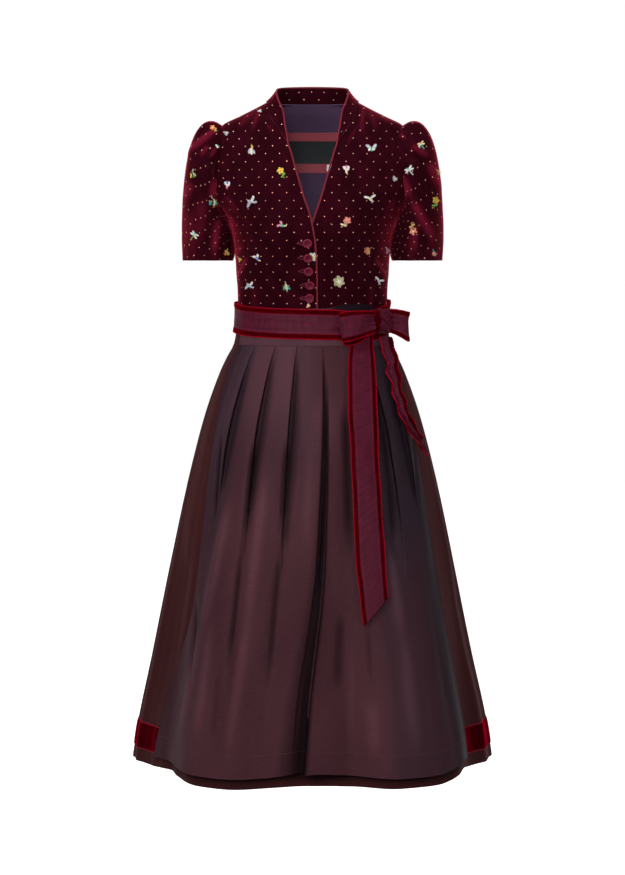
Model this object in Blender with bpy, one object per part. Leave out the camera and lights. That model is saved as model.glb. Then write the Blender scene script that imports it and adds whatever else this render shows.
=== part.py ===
"""A dirndl in the hollow shape that it takes when worn, with no wearer.

Velvet bodice with stand collar, puffed sleeves and five buttons, a pleated skirt with a velvet hem
band, a taffeta apron in knife pleats, and a bordered ribbon sash tied in a bow.

Lengths in the tables are millimetres. X runs to the wearer's left, the front faces -Y, +Z is up.
The origin is midway between the tops of the shoulders. Angles are degrees round the body from the
centre front, 90 at the wearer's left side, 180 at the centre back.
"""

from bisect import bisect_right
from collections import namedtuple
from math import acos, asin, cos, degrees, exp, pi, radians, sin, tau

import bmesh
import bpy
from mathutils import Vector

MM = 0.001
SEAM = 0.35
SIDE_GAP = 0.2
SMOOTH_ANGLE = radians(50)

NECK_Z = 20.6
BACK_NECK_Z = 18.4
SHOULDER_Z = -22
UNDERARM_Z = -201
WAIST_Z = -372
HEM_Z = -1200

VELVET_WALL = 1.8
COLLAR_WALL = 2.0
SKIRT_WALL = 1.4
APRON_WALL = 1.1
LINING_WALL = 1.0
LINING_CLEAR = 1.5
LINING_SHARE = 0.72
LINING_TOP_Z = 10
TAPE_CLEAR = 1.9
TAPE_WALL = 1.0

BAND_TOP_Z = -1134.5
BAND_BOTTOM_Z = -1186.5
BAND_WALL = 1.3

APRON_TOP_Z = -424.6
APRON_HEM_Z = -1178
WAISTBAND_TOP_Z = -357
WAISTBAND_BOTTOM_Z = -424.2
WAISTBAND_LIFT = 4.1
WAISTBAND_WALL = 1.2
WAISTBAND_REACH = 84
WAISTBAND_ROWS = (WAISTBAND_TOP_Z, -372, -402, -413, WAISTBAND_BOTTOM_Z)
WAISTBAND_COLUMNS = 26

RIBBON = 55
BORDER = 9.8
RIBBON_WALL = 1.0
VELVET_RIBBON_WALL = 1.4
SASH_LIFT = 4.9

PIPING = 1.5
PIPING_CLEAR = 2.1
BUTTON_RADIUS = 8.2
BUTTON_THICK = 3.4
BUTTON_CLEAR = 0.9
BUTTON_SIDES = 12

# A button's rings, as shares of its thickness and radius.
ButtonRing = namedtuple("ButtonRing", "height radius")
BUTTON_PROFILE = [
    ButtonRing(0, 0.72),
    ButtonRing(0.24, 0.96),
    ButtonRing(0.6, 1),
    ButtonRing(1, 0.86),
    ButtonRing(0.62, 0.6),
]

TorsoRow = namedtuple("TorsoRow", "z half_width front back")
TORSO = [
    TorsoRow(21, 82.4, 45, 51),
    TorsoRow(8, 107, 55, 62),
    TorsoRow(-5, 133, 65, 72),
    TorsoRow(-22, 166, 76, 83),
    TorsoRow(-40, 176, 86, 91),
    TorsoRow(-60, 182, 96, 98),
    TorsoRow(-84, 186, 107, 104),
    TorsoRow(-112, 188, 117, 108),
    TorsoRow(-142, 187, 125, 109),
    TorsoRow(-166, 178, 129, 108),
    TorsoRow(-185, 163, 131, 106),
    TorsoRow(-201, 151.5, 132, 104),
    TorsoRow(-222, 147, 131, 102),
    TorsoRow(-250, 143.5, 125, 98),
    TorsoRow(-290, 141, 110, 92),
    TorsoRow(-330, 138.5, 95, 88),
    TorsoRow(-372, 138, 90, 88),
]

BUST_FULLNESS = 18
BUST_X = 74
BUST_Z = -222
BUST_SPREAD_X = 50
BUST_SPREAD_Z = 55

# Where the front panels end towards the centre: the collar seam, then the neckline's V.
NecklineRow = namedtuple("NecklineRow", "z seam")
NECKLINE = [
    NecklineRow(20.6, 80.8),
    NecklineRow(8, 81.8),
    NecklineRow(-4, 80),
    NecklineRow(-20, 71),
    NecklineRow(-40, 57),
    NecklineRow(-58, 45),
    NecklineRow(-112, 28.5),
    NecklineRow(-160, 14.5),
    NecklineRow(-194, 3),
]

# The opening edge of the right front below the V, and how far the left front goes under it.
OpeningRow = namedtuple("OpeningRow", "z edge")
OPENING = [
    OpeningRow(-160, -14.5),
    OpeningRow(-194, -3),
    OpeningRow(-223, 2.6),
    OpeningRow(-237, 5),
    OpeningRow(-257, 6.4),
    OpeningRow(-313, 8.6),
    OpeningRow(-372, 8.6),
]
V_TURN_Z = -160
V_TIP_Z = -194
V_TIP_X = 3
UNDERLAP_X = -14
UNDERLAP_FULL_Z = -242
UNDERLAP_DROP = 3.4
UNDERLAP_STEP = (10.8, 16.5)

BODICE_ROWS = (-371.8, -345, -315, -285, -255, -236, -220, -209, -201, -196, -185, -166, -140)
BODICE_UPPER_ROWS = (-112, -84, -60, -40, -22, -12, -2, 8, 15, NECK_Z)
FRONT_COLUMNS = 9
BACK_COLUMNS = 16

ArmholeHalf = namedtuple("ArmholeHalf", "right left")
ARMHOLE_FRONT = ArmholeHalf(46, 58)
ARMHOLE_BACK = ArmholeHalf(50, 50)
ARMHOLE_ROUNDNESS = 2.3

Tape = namedtuple("Tape", "name bottom top half_width centre columns rows")
BACKING_BAND = Tape("backing_band", -104, -28, 66, 0, 8, 3)
NECK_LABEL = Tape("neck_label", -86, -43, 52, 0, 6, 2)
SIZE_TAB = Tape("size_tab", -103, -87.5, 3.2, 29.5, 1, 1)

SkirtRow = namedtuple("SkirtRow", "z half_width front back pleat shape")
SKIRT = [
    SkirtRow(-372, 138.6, 90.5, 88.5, 1.0, 0),
    SkirtRow(-398, 140.5, 93.5, 92, 1.4, 0),
    SkirtRow(-413, 142.5, 97, 97, 1.8, 0),
    SkirtRow(-426, 145.5, 101, 102, 2.2, 0),
    SkirtRow(-448, 157, 109, 113, 3, 0),
    SkirtRow(-480, 171, 120, 128, 4, 0),
    SkirtRow(-560, 198, 145, 155, 5.5, 0.06),
    SkirtRow(-680, 227.5, 172, 183, 7, 0.2),
    SkirtRow(-830, 258, 197, 206, 8.5, 0.42),
    SkirtRow(-1000, 292, 220, 226, 10, 0.7),
    SkirtRow(-1135, 320, 241, 245, 11, 0.92),
    SkirtRow(-1200, 330, 250, 252, 11, 1),
]
SKIRT_ROWS = (-372.4, -413, -426, -448, -480, -560, -680, -830, -1000, BAND_TOP_Z, BAND_BOTTOM_Z, HEM_Z)
SKIRT_COLUMNS = 72

# How far the hem swings out of its oval, by angle.
HemSwing = namedtuple("HemSwing", "angle swing")
HEM_SWING = [
    HemSwing(-180, 10),
    HemSwing(-164, -6),
    HemSwing(-148, 12),
    HemSwing(-130, -8),
    HemSwing(-112, 7),
    HemSwing(-90, 0),
    HemSwing(-72, -20),
    HemSwing(-57, -21),
    HemSwing(-48, -2),
    HemSwing(-36, 30),
    HemSwing(-25, 35),
    HemSwing(-10, 4),
    HemSwing(0, -6),
    HemSwing(12, -5),
    HemSwing(26, 33),
    HemSwing(38, 36),
    HemSwing(49, 20),
    HemSwing(60, -10),
    HemSwing(72, -22),
    HemSwing(90, 0),
    HemSwing(110, 6),
    HemSwing(131, -9),
    HemSwing(150, 13),
    HemSwing(166, -4),
    HemSwing(180, 10),
]

SKIRT_PLEATS = 30
PLEAT_REACH = 6.2
PLEAT_DRIFT = 2.4
PLEAT_DRIFT_PHASE = 2.4
PLEAT_UNEVEN = 0.2
PLEAT_UNEVEN_PHASE = 1.7
FRONT_PLEAT_SHARE = 0.42
FRONT_PLEAT_ANGLES = (62, 80)

ApronEdge = namedtuple("ApronEdge", "z right left")
APRON_EDGES = [
    ApronEdge(-424, -71, 71),
    ApronEdge(-470, -66, 66.5),
    ApronEdge(-600, -58.5, 60),
    ApronEdge(-737, -54.5, 60),
    ApronEdge(-886, -53, 59.5),
    ApronEdge(-991, -56, 60),
    ApronEdge(-1090, -58.5, 60.5),
    ApronEdge(-1180, -60, 59),
]
APRON_ROWS = (APRON_TOP_Z, -448, -480, -520, -560, -620, -680, -750, -830, -915, -1000, -1068,
              BAND_TOP_Z, APRON_HEM_Z)
ApronClear = namedtuple("ApronClear", "z gap")
APRON_CLEAR = [
    ApronClear(-424, 3.0),
    ApronClear(-520, 4.4),
    ApronClear(-680, 5.6),
    ApronClear(-1200, 7.6),
]

# A knife pleat's edge at the waistband and at the hem, how far it slopes off on each side, and how
# far it stands out at four heights.
Fold = namedtuple("Fold", "top hem left_reach right_reach rise")
APRON_FOLD_HEIGHTS = (-424, -600, -800, -1178)
APRON_FOLDS = [
    Fold(-44.5, -43, 15, 1.6, (2.2, 9, 4, 2)),
    Fold(-27.2, -28, 15, 1.6, (2.2, 9, 5, 2)),
    Fold(-11, -13.5, 14, 2.2, (2.2, 8, 4, 1)),
    Fold(6.9, -3.6, 14, 1.5, (2.2, 8, 5, 0)),
    Fold(9.4, 0.2, 1.5, 14, (1.6, 5, 9, 22)),
    Fold(23, 22, 2.2, 13, (2.2, 8, 4, 2)),
    Fold(38.3, 37, 1.6, 12, (2.2, 9, 5, 2)),
    Fold(51.5, 49, 1.6, 11, (2.2, 8, 4, 2)),
]
FOLD_COLUMNS = 2

SashRow = namedtuple("SashRow", "angle z")
SASH_PATH = [
    SashRow(-180, -368),
    SashRow(-135, -370),
    SashRow(-90, -374),
    SashRow(-54, -380.5),
    SashRow(-30, -383.5),
    SashRow(0, -385.5),
    SashRow(20, -386),
    SashRow(45, -383),
    SashRow(63, -380),
    SashRow(90, -371),
    SashRow(135, -366),
    SashRow(180, -368),
]
SASH_COLUMNS = 48

KNOT_ANGLE = 57
KNOT_Z = -384
KNOT_HALF = Vector((24, 9.5, 24))
KNOT_SEGMENTS = 14
KNOT_RINGS = 9

LoopRow = namedtuple("LoopRow", "x y z width")
FRONT_LOOP = [
    LoopRow(113.4, -81.5, -386, 0.62),
    LoopRow(99, -93, -389, 0.78),
    LoopRow(84, -102, -392, 0.92),
    LoopRow(68, -109, -395, 1.0),
    LoopRow(57, -112, -397, 1.0),
    LoopRow(52, -109.5, -397.5, 1.0),
    LoopRow(51, -105.5, -397.5, 1.0),
    LoopRow(55, -102.2, -397, 1.0),
    LoopRow(68, -98, -395, 1.0),
    LoopRow(84, -91, -392, 0.92),
    LoopRow(99, -83, -389, 0.78),
    LoopRow(111.4, -78.2, -386, 0.62),
]
FRONT_LOOP_LEAN = (-0.12, 0.06)
SIDE_LOOP = [
    LoopRow(146.4, -48.9, -382, 0.6),
    LoopRow(154, -50.5, -384, 0.72),
    LoopRow(164, -51, -387.5, 0.9),
    LoopRow(173, -49, -390, 1.0),
    LoopRow(177, -46, -391, 1.0),
    LoopRow(177.8, -42.5, -391, 1.0),
    LoopRow(174.5, -39.5, -390.5, 1.0),
    LoopRow(164, -38.5, -387.5, 0.9),
    LoopRow(155, -39.5, -384, 0.72),
    LoopRow(147.6, -43.3, -382, 0.6),
]
SIDE_LOOP_LEAN = (0.02, 0)

TailRow = namedtuple("TailRow", "z right left lift")
LONG_TAIL = [
    TailRow(-392, 76, 110, 6.6),
    TailRow(-412, 72, 111.5, 7.2),
    TailRow(-425, 68.5, 112, 8.2),
    TailRow(-450, 66, 115, 11),
    TailRow(-487, 65, 117, 14.5),
    TailRow(-592, 68.4, 119.5, 17),
    TailRow(-716, 73.8, 124, 16.5),
    TailRow(-807, 78.3, 131, 16),
    TailRow(-919, 89.7, 139, 16),
]
LONG_TAIL_END = (-919, -866)
SHORT_TAIL = [
    TailRow(-409, 118.5, 139, 6.6),
    TailRow(-415, 119.5, 141, 7.6),
    TailRow(-425, 122, 144, 9.5),
    TailRow(-450, 129.5, 151, 11.5),
    TailRow(-478, 138, 158.5, 14),
    TailRow(-528, 151, 170, 17),
    TailRow(-582, 172, 190, 17.5),
    TailRow(-632, 203, 221, 12),
]
SHORT_TAIL_END = (-628, -590)
TAIL_ROWS = 14

CollarRow = namedtuple("CollarRow", "share x y z")
COLLAR_TOP = [
    CollarRow(0, 0, 49, 54),
    CollarRow(0.2, 36, 44, 53),
    CollarRow(0.38, 60, 29, 50.5),
    CollarRow(0.52, 69.5, 6, 45.5),
    CollarRow(0.62, 69.5, -15, 37),
    CollarRow(0.72, 64.5, -38, 21),
    CollarRow(0.82, 55, -56.5, -2),
    CollarRow(0.91, 51, -74, -27),
    CollarRow(1, 46.5, -87.5, -49),
]
COLLAR_SHOULDER = 0.52
COLLAR_END_Z = -57
COLLAR_END_Y = -93
COLLAR_TAPER_Z = -40
COLLAR_TAPER_LENGTH = 20
COLLAR_CLEAR = 0.55

# Where the piping starts on each front.
EdgeStart = namedtuple("EdgeStart", "right left")
PIPING_START_Z = EdgeStart(-368, -187)

SleeveFold = namedtuple("SleeveFold", "angle reach rise")
SLEEVE_TUCKS = [
    SleeveFold(-62, 15, 4),
    SleeveFold(-34, 13, 5),
    SleeveFold(-8, 12, 4),
    SleeveFold(20, 12, 4.5),
    SleeveFold(46, 13, 5),
    SleeveFold(72, 14, 4),
]
SLEEVE_COLUMNS = 26
SLEEVE_ROWS = (0, 0.07, 0.16, 0.28, 0.42, 0.58, 0.75, 0.88, 1)
CUFF_CENTRE = Vector((195.3, 3, -272))
CUFF_HALF = (47.4, 56)

# How the sleeve swells off the armhole and up from the cuff: everywhere, and towards the front or
# back, the top and the underarm.
Swell = namedtuple("Swell", "all level top bottom")
ARMHOLE_SWELL_X = Swell(24, 0, 45, -18)
ARMHOLE_SWELL_Y = -34
ARMHOLE_SWELL_Z = Swell(0, -8, 34, -14)
CUFF_SWELL_X = Swell(0, 0, 3, 0)
CUFF_SWELL_Y = -9
CUFF_SWELL_Z = Swell(-2, 84, 212, 20)
TUCK_START = 0.1
TUCK_END = 0.62
TUCK_LEAN_X = (0.35, 0.25)
TUCK_LEAN_Z = 0.85
SLEEVE_STEP_ANGLE = 3
SLEEVE_STEP = 0.02

ButtonRow = namedtuple("ButtonRow", "x z")
BUTTONS = [
    ButtonRow(-9.6, -239.2),
    ButtonRow(-7.9, -265.2),
    ButtonRow(-7.2, -289.3),
    ButtonRow(-4.6, -314.2),
    ButtonRow(-5.2, -338.1),
]


def smooth(points):
    """A smooth curve through rising (x, y) points that never overshoots them, as a function."""
    points = sorted(points)
    xs, ys = zip(*points)
    slopes = [(ys[i + 1] - ys[i]) / (xs[i + 1] - xs[i]) for i in range(len(xs) - 1)]
    tangents = [slopes[0]]
    for before, after in zip(slopes, slopes[1:]):
        meet = before * after
        tangents.append(2 * meet / (before + after) if meet > 0 else 0.0)
    tangents.append(slopes[-1])

    def read(x):
        x = min(max(x, xs[0]), xs[-1])
        i = min(bisect_right(xs, x), len(xs) - 1) - 1
        step = xs[i + 1] - xs[i]
        t = (x - xs[i]) / step
        t2, t3 = t * t, t * t * t
        return (
            (2 * t3 - 3 * t2 + 1) * ys[i]
            + (t3 - 2 * t2 + t) * step * tangents[i]
            + (3 * t2 - 2 * t3) * ys[i + 1]
            + (t3 - t2) * step * tangents[i + 1]
        )

    return read


def columns(rows):
    """A smooth function of the table's first column for each of its other columns."""
    names = rows[0]._fields[1:]
    return {name: smooth([(row[0], getattr(row, name)) for row in rows]) for name in names}


torso_at = columns(TORSO)
neckline_at = columns(NECKLINE)
opening_at = columns(OPENING)
skirt_at = columns(SKIRT)
swing_at = columns(HEM_SWING)
apron_edge_at = columns(APRON_EDGES)
apron_clear_at = columns(APRON_CLEAR)
sash_at = columns(SASH_PATH)
collar_top_at = columns(COLLAR_TOP)


def wrapped(angle):
    """The same direction as an angle from -180 to 180."""
    return (angle + 180) % 360 - 180


def bump(offset):
    """1 at the middle, falling softly to 0 at an offset of 1 either way."""
    return 0.5 + 0.5 * cos(pi * offset) if abs(offset) < 1 else 0.0


def oval(angle, half_width, front, back):
    """A point of the body's oval section, as x and y."""
    turn = radians(angle)
    depth = front if cos(turn) > 0 else back
    return half_width * sin(turn), -depth * cos(turn)


def torso(angle, z):
    """The bodice's outer surface."""
    x, y = oval(angle, *(torso_at[name](z) for name in ("half_width", "front", "back")))
    facing = min(1.0, max(0.0, 2 * cos(radians(angle))))
    across = (abs(x) - BUST_X) / BUST_SPREAD_X
    upwards = (z - BUST_Z) / BUST_SPREAD_Z
    y -= BUST_FULLNESS * facing * exp(-across * across - upwards * upwards)
    return Vector((x, y, z))


def skirt_form(angle, z):
    """The smooth oval that the skirt, the apron and the sash are laid out on."""
    x, y = oval(angle, *(skirt_at[name](z) for name in ("half_width", "front", "back")))
    return Vector((x, y, z))


def normal_of(surface, u, v):
    """The direction out of a surface(u, v)."""
    across = surface(u + 0.5, v) - surface(u - 0.5, v)
    upwards = surface(u, v + 0.5) - surface(u, v - 0.5)
    return across.cross(upwards).normalized()


def flat_normal(angle, z):
    """The level direction out of the skirt's form, so that layers stay in order."""
    out = normal_of(skirt_form, angle, z)
    out.z = 0
    return out.normalized()


def swing(angle, z):
    """How far the skirt hangs out of its oval."""
    return skirt_at["shape"](z) * swing_at["swing"](wrapped(angle))


def skirt_lift(angle, z):
    """The skirt's pleats and swing, out of its form."""
    side = (abs(wrapped(angle)) - FRONT_PLEAT_ANGLES[0]) / (FRONT_PLEAT_ANGLES[1] - FRONT_PLEAT_ANGLES[0])
    share = FRONT_PLEAT_SHARE + (1 - FRONT_PLEAT_SHARE) * min(max(side, 0.0), 1.0)
    rise = 0.0
    for k in range(SKIRT_PLEATS):
        middle = 360 / SKIRT_PLEATS * k + PLEAT_DRIFT * sin(PLEAT_DRIFT_PHASE * k)
        depth = 1 - PLEAT_UNEVEN + PLEAT_UNEVEN * cos(PLEAT_UNEVEN_PHASE * k)
        rise += depth * bump(wrapped(angle - middle) / PLEAT_REACH)
    return swing(angle, z) + share * skirt_at["pleat"](z) * rise


def apron_lift(angle, z):
    """The apron's pleats, out of the skirt's form, clear of the skirt below it."""
    down = (z - APRON_TOP_Z) / (APRON_HEM_Z - APRON_TOP_Z)
    rise = 0.0
    for fold in APRON_FOLDS:
        away = angle - (fold.top + (fold.hem - fold.top) * down)
        reach = fold.right_reach if away > 0 else fold.left_reach
        height = smooth(zip(APRON_FOLD_HEIGHTS, fold.rise))(z)
        rise += height * max(0.0, 1 - abs(away) / reach)
    return swing(angle, z) + apron_clear_at["gap"](z) + APRON_WALL + rise


def lifted(surface, normal, nodes, lift):
    """Points at a grid of (u, v), moved out by lift, a number or a function of u and v."""
    height = lift if callable(lift) else lambda u, v: lift
    return [[surface(u, v) + normal(u, v) * height(u, v) for u, v in row] for row in nodes]


def on_torso(nodes, lift):
    return lifted(torso, lambda u, v: normal_of(torso, u, v), nodes, lift)


def on_skirt(nodes, lift):
    return lifted(skirt_form, flat_normal, nodes, lift)


def spread(start, end, count):
    """count + 1 values from start to end."""
    return [start + (end - start) * i / count for i in range(count + 1)]


def clear_scene():
    for item in list(bpy.data.objects):
        bpy.data.objects.remove(item, do_unlink=True)


def finish(name, bm, finish_of):
    """An object from a closed mesh, with its material and smooth shading."""
    bmesh.ops.recalc_face_normals(bm, faces=bm.faces)
    mesh = bpy.data.meshes.new(name)
    bm.to_mesh(mesh)
    bm.free()
    mesh.shade_smooth()
    mesh.set_sharp_from_angle(angle=SMOOTH_ANGLE)
    colour, roughness = finish_of
    material = bpy.data.materials.new(name)
    material.use_nodes = True
    shader = material.node_tree.nodes["Principled BSDF"]
    shader.inputs["Base Color"].default_value = (*colour, 1)
    shader.inputs["Roughness"].default_value = roughness
    shader.inputs["Metallic"].default_value = 0
    mesh.materials.append(material)
    item = bpy.data.objects.new(name, mesh)
    bpy.context.collection.objects.link(item)
    return item


def wall(name, outer, inner, finish_of, ring=False):
    """A closed cloth wall between two grids of points. A ring's columns join at the ends."""
    bm = bmesh.new()
    front = [[bm.verts.new(point * MM) for point in row] for row in outer]
    back = [[bm.verts.new(point * MM) for point in row] for row in inner]
    height, width = len(outer), len(outer[0])

    def quad(a, b, c, d):
        bm.faces.new((a, b, c))
        bm.faces.new((a, c, d))

    for j in range(width if ring else width - 1):
        k = (j + 1) % width
        for i in range(height - 1):
            quad(front[i][j], front[i][k], front[i + 1][k], front[i + 1][j])
            quad(back[i][j], back[i + 1][j], back[i + 1][k], back[i][k])
        quad(front[0][j], back[0][j], back[0][k], front[0][k])
        quad(front[-1][j], front[-1][k], back[-1][k], back[-1][j])
    if not ring:
        for i in range(height - 1):
            quad(front[i][0], front[i + 1][0], back[i + 1][0], back[i][0])
            quad(front[i][-1], back[i][-1], back[i + 1][-1], front[i + 1][-1])
    return finish(name, bm, finish_of)


VELVET = ((0.07, 0.008, 0.02), 0.8)
PIPING_CORD = ((0.19, 0.02, 0.035), 0.6)
BUTTON = ((0.16, 0.015, 0.04), 0.35)
LINING = ((0.05, 0.03, 0.06), 0.6)
TAPE = ((0.2, 0.04, 0.05), 0.7)
LABEL = ((0.01, 0.012, 0.014), 0.6)
TAB = ((0.75, 0.75, 0.75), 0.6)
WOOL = ((0.085, 0.03, 0.024), 0.85)
HEM_VELVET = ((0.09, 0.002, 0.012), 0.8)
TAFFETA = ((0.085, 0.04, 0.048), 0.4)
RIBBON_SILK = ((0.1, 0.022, 0.045), 0.5)
BORDER_VELVET = ((0.16, 0.002, 0.012), 0.8)


def armhole_share(z):
    """How far the armhole has opened at a height: 0 at the shoulder and the underarm, 1 between."""
    middle = (SHOULDER_Z + UNDERARM_Z) / 2
    away = abs(z - middle) / (SHOULDER_Z - middle)
    return (1 - away ** ARMHOLE_ROUNDNESS) ** (1 / ARMHOLE_ROUNDNESS) if away < 1 else 0.0


def armhole_angle(z, side, facing):
    """Where the armhole's edge is, as an angle past the centre front or back on one side."""
    half = (ARMHOLE_FRONT if facing == "front" else ARMHOLE_BACK)[0 if side < 0 else 1]
    depth = torso_at[facing](z)
    return degrees(acos(half * armhole_share(z) / depth))


def angle_at(x, z):
    """The angle of a point of the front at a given x."""
    share = x / torso_at["half_width"](z)
    return degrees(asin(min(max(share, -0.9999), 0.9999)))


def front_nodes(side):
    """The grid of a front panel, from its inner edge to the armhole or side."""
    nodes = []
    for z in BODICE_ROWS + BODICE_UPPER_ROWS:
        outer = side * (armhole_angle(z, side, "front") - SIDE_GAP)
        beside = PIPING + SEAM if z < COLLAR_END_Z else 0
        if side < 0 and z < V_TURN_Z:
            inner_x = opening_at["edge"](z) - beside
        elif z > V_TIP_Z:
            inner_x = side * (neckline_at["seam"](z) + beside)
        else:
            under = min(1.0, (V_TIP_Z - z) / (V_TIP_Z - UNDERLAP_FULL_Z))
            inner_x = V_TIP_X + beside + (UNDERLAP_X - V_TIP_X - beside) * under
        inner = angle_at(inner_x, z)
        if side > 0 and z < V_TIP_Z:
            step = [angle_at(x, z) for x in UNDERLAP_STEP]
            angles = spread(inner, step[0], 2) + spread(step[1], outer, FRONT_COLUMNS - 3)
        else:
            angles = spread(inner, outer, FRONT_COLUMNS)
        nodes.append([(angle, z) for angle in angles])
    return nodes


def underlap(angle, z):
    """How far the left front lies below the right one's surface."""
    if z > V_TIP_Z:
        return 0.0
    x = torso(angle, z).x
    start, end = UNDERLAP_STEP
    share = min(max((end - x) / (end - start), 0.0), 1.0)
    return -UNDERLAP_DROP * share


def back_nodes(widest=1.0, top=None):
    """The grid of the back, or of the middle of it."""
    nodes = []
    for z in BODICE_ROWS + BODICE_UPPER_ROWS:
        if top is not None and z > top:
            continue
        starts = [180 - armhole_angle(z, side, "back") + SIDE_GAP for side in (1, -1)]
        row = []
        for angle in spread(starts[0], 360 - starts[1], BACK_COLUMNS):
            angle = 180 + (angle - 180) * widest
            rise = BACK_NECK_Z - NECK_Z if z == NECK_Z else 0
            row.append((angle, z + rise * abs(sin(radians(angle - 90))) ** 0.5))
        nodes.append(row)
    return nodes


def make_bodice():
    for name, side in (("bodice_front_right", -1), ("bodice_front_left", 1)):
        nodes = front_nodes(side)
        drop = underlap if side > 0 else lambda angle, z: 0.0
        outer = on_torso(nodes, drop)
        inner = on_torso(nodes, lambda angle, z: drop(angle, z) - VELVET_WALL)
        wall(name, outer, inner, VELVET)
    nodes = back_nodes()
    wall("bodice_back", on_torso(nodes, 0), on_torso(nodes, -VELVET_WALL), VELVET)
    lining = [row[::2] for row in back_nodes(LINING_SHARE, LINING_TOP_Z)]
    top = -VELVET_WALL - LINING_CLEAR
    wall("lining_back", on_torso(lining, top), on_torso(lining, top - LINING_WALL), LINING)


def make_neck_tapes():
    """The backing band, the bare label on it and the small tab, inside the back."""
    band_depth = -VELVET_WALL - LINING_CLEAR - LINING_WALL - TAPE_CLEAR
    label_depth = band_depth - TAPE_WALL - TAPE_CLEAR / 2

    def lay(tape, depth, finish_of):
        start, end = tape.centre - tape.half_width, tape.centre + tape.half_width
        nodes = [
            [(180 - angle_at(x, z), z) for x in spread(start, end, tape.columns)]
            for z in spread(tape.bottom, tape.top, tape.rows)
        ]
        wall(tape.name, on_torso(nodes, depth), on_torso(nodes, depth - TAPE_WALL), finish_of)

    lay(BACKING_BAND, band_depth, TAPE)
    lay(NECK_LABEL, label_depth, LABEL)
    lay(SIZE_TAB, label_depth, TAB)


def collar_feet():
    """The collar's lower edge on one side, as (share, point) from the centre back to the front end."""
    feet = []
    for angle in spread(180, 90, BACK_COLUMNS // 2):
        z = NECK_Z + (BACK_NECK_Z - NECK_Z) * abs(cos(radians(angle))) ** 0.5
        foot = torso(angle, z) + Vector((0, 0, COLLAR_CLEAR))
        feet.append((COLLAR_SHOULDER * (180 - angle) / 90, foot))
    levels = [z for z in reversed(BODICE_UPPER_ROWS) if z > COLLAR_END_Z] + [COLLAR_END_Z]
    for z in levels:
        inset = (PIPING + SEAM) * max(0.0, (COLLAR_TAPER_Z - z) / COLLAR_TAPER_LENGTH)
        foot = torso(angle_at(neckline_at["seam"](z) + inset - COLLAR_CLEAR, z), z)
        foot.z += COLLAR_CLEAR if z == NECK_Z else 0
        share = COLLAR_SHOULDER + (1 - COLLAR_SHOULDER) * foot.y / COLLAR_END_Y
        feet.append((min(share, 1.0), foot))
    return feet


def collar_edges():
    """The lower edge, upper edge and outward direction of the collar, from right to left."""
    feet = collar_feet()
    lower, upper = [], []
    for side, half in ((-1, feet[::-1]), (1, feet[1:])):
        for share, foot in half:
            crown = Vector([collar_top_at[name](share) for name in ("x", "y", "z")])
            lower.append(Vector((side * foot.x, foot.y, foot.z)))
            upper.append(Vector((side * crown.x, crown.y, crown.z)))
    last = len(lower) - 1
    outwards = []
    for j in range(last + 1):
        along = lower[min(j + 1, last)] - lower[max(j - 1, 0)]
        along += upper[min(j + 1, last)] - upper[max(j - 1, 0)]
        outwards.append(along.cross(upper[j] - lower[j]).normalized())
    return lower, upper, outwards


def make_collar():
    lower, upper, outwards = collar_edges()
    outer = [[foot.lerp(crown, share) for foot, crown in zip(lower, upper)] for share in (0, 0.5, 1)]
    inner = [[point - out * COLLAR_WALL for point, out in zip(row, outwards)] for row in outer]
    wall("collar", outer, inner, VELVET)


def round_bar(name, path, radius, finish_of, sides=6):
    """A round cord along a path of points, closed at both ends."""
    bm = bmesh.new()
    rings = []
    last = len(path) - 1
    level = Vector((0, 1, 0))
    for j, point in enumerate(path):
        along = (path[min(j + 1, last)] - path[max(j - 1, 0)]).normalized()
        level = (level - along * level.dot(along)).normalized()
        third = along.cross(level)
        ring = []
        for k in range(sides):
            turn = tau * (k + 0.5) / sides
            ring.append(bm.verts.new((point + (level * cos(turn) + third * sin(turn)) * radius) * MM))
        rings.append(ring)
    for before, after in zip(rings, rings[1:]):
        for k in range(sides):
            m = (k + 1) % sides
            bm.faces.new((before[k], before[m], after[m], after[k]))
    bm.faces.new(rings[0])
    bm.faces.new(rings[-1])
    return finish(name, bm, finish_of)


def edge_path(side):
    """The piping's centre along one front's edge, from its lower end up to the collar."""
    start = PIPING_START_Z.right if side < 0 else PIPING_START_Z.left
    levels = [z for z in BODICE_ROWS + BODICE_UPPER_ROWS if start < z < COLLAR_END_Z]
    path = []
    for z in [start] + levels:
        x = opening_at["edge"](z) if side < 0 and z < V_TURN_Z else side * neckline_at["seam"](z)
        path.append(torso(angle_at(x, z), z))
    return path


def make_piping():
    """One cord up the opening edge, round the collar and down the other side of the neckline."""
    lower, upper, outwards = collar_edges()
    feet, rim = [lower[1]] + lower + [lower[-2]], [lower[0]] + upper + [lower[-1]]
    outwards = [outwards[0]] + outwards + [outwards[-1]]
    crest = []
    for j, (foot, crown, out) in enumerate(zip(feet, rim, outwards)):
        along = (rim[min(j + 1, len(rim) - 1)] - rim[max(j - 1, 0)]).normalized()
        rise = crown - foot
        rise -= along * rise.dot(along)
        crest.append(crown + rise.normalized() * PIPING_CLEAR - out * COLLAR_WALL / 2)
    path = edge_path(-1) + crest + edge_path(1)[::-1]
    round_bar("piping", path, PIPING, PIPING_CORD)


def sleeve_start(turn, side):
    """A point of the armhole, by the turn from its top over the front to the underarm."""
    middle = (SHOULDER_Z + UNDERARM_Z) / 2
    z = middle + (SHOULDER_Z - middle) * cos(radians(turn)) * 0.9995
    facing = "front" if turn % 360 <= 180 else "back"
    angle = armhole_angle(z, side, facing)
    if facing == "back":
        angle = 180 - angle
    return torso(side * angle, z)


def swelling(row, top, bottom, level):
    """One row of the sleeve's swell at a place round the ring."""
    return row.all + row.level * level + row.top * top + row.bottom * bottom


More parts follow.
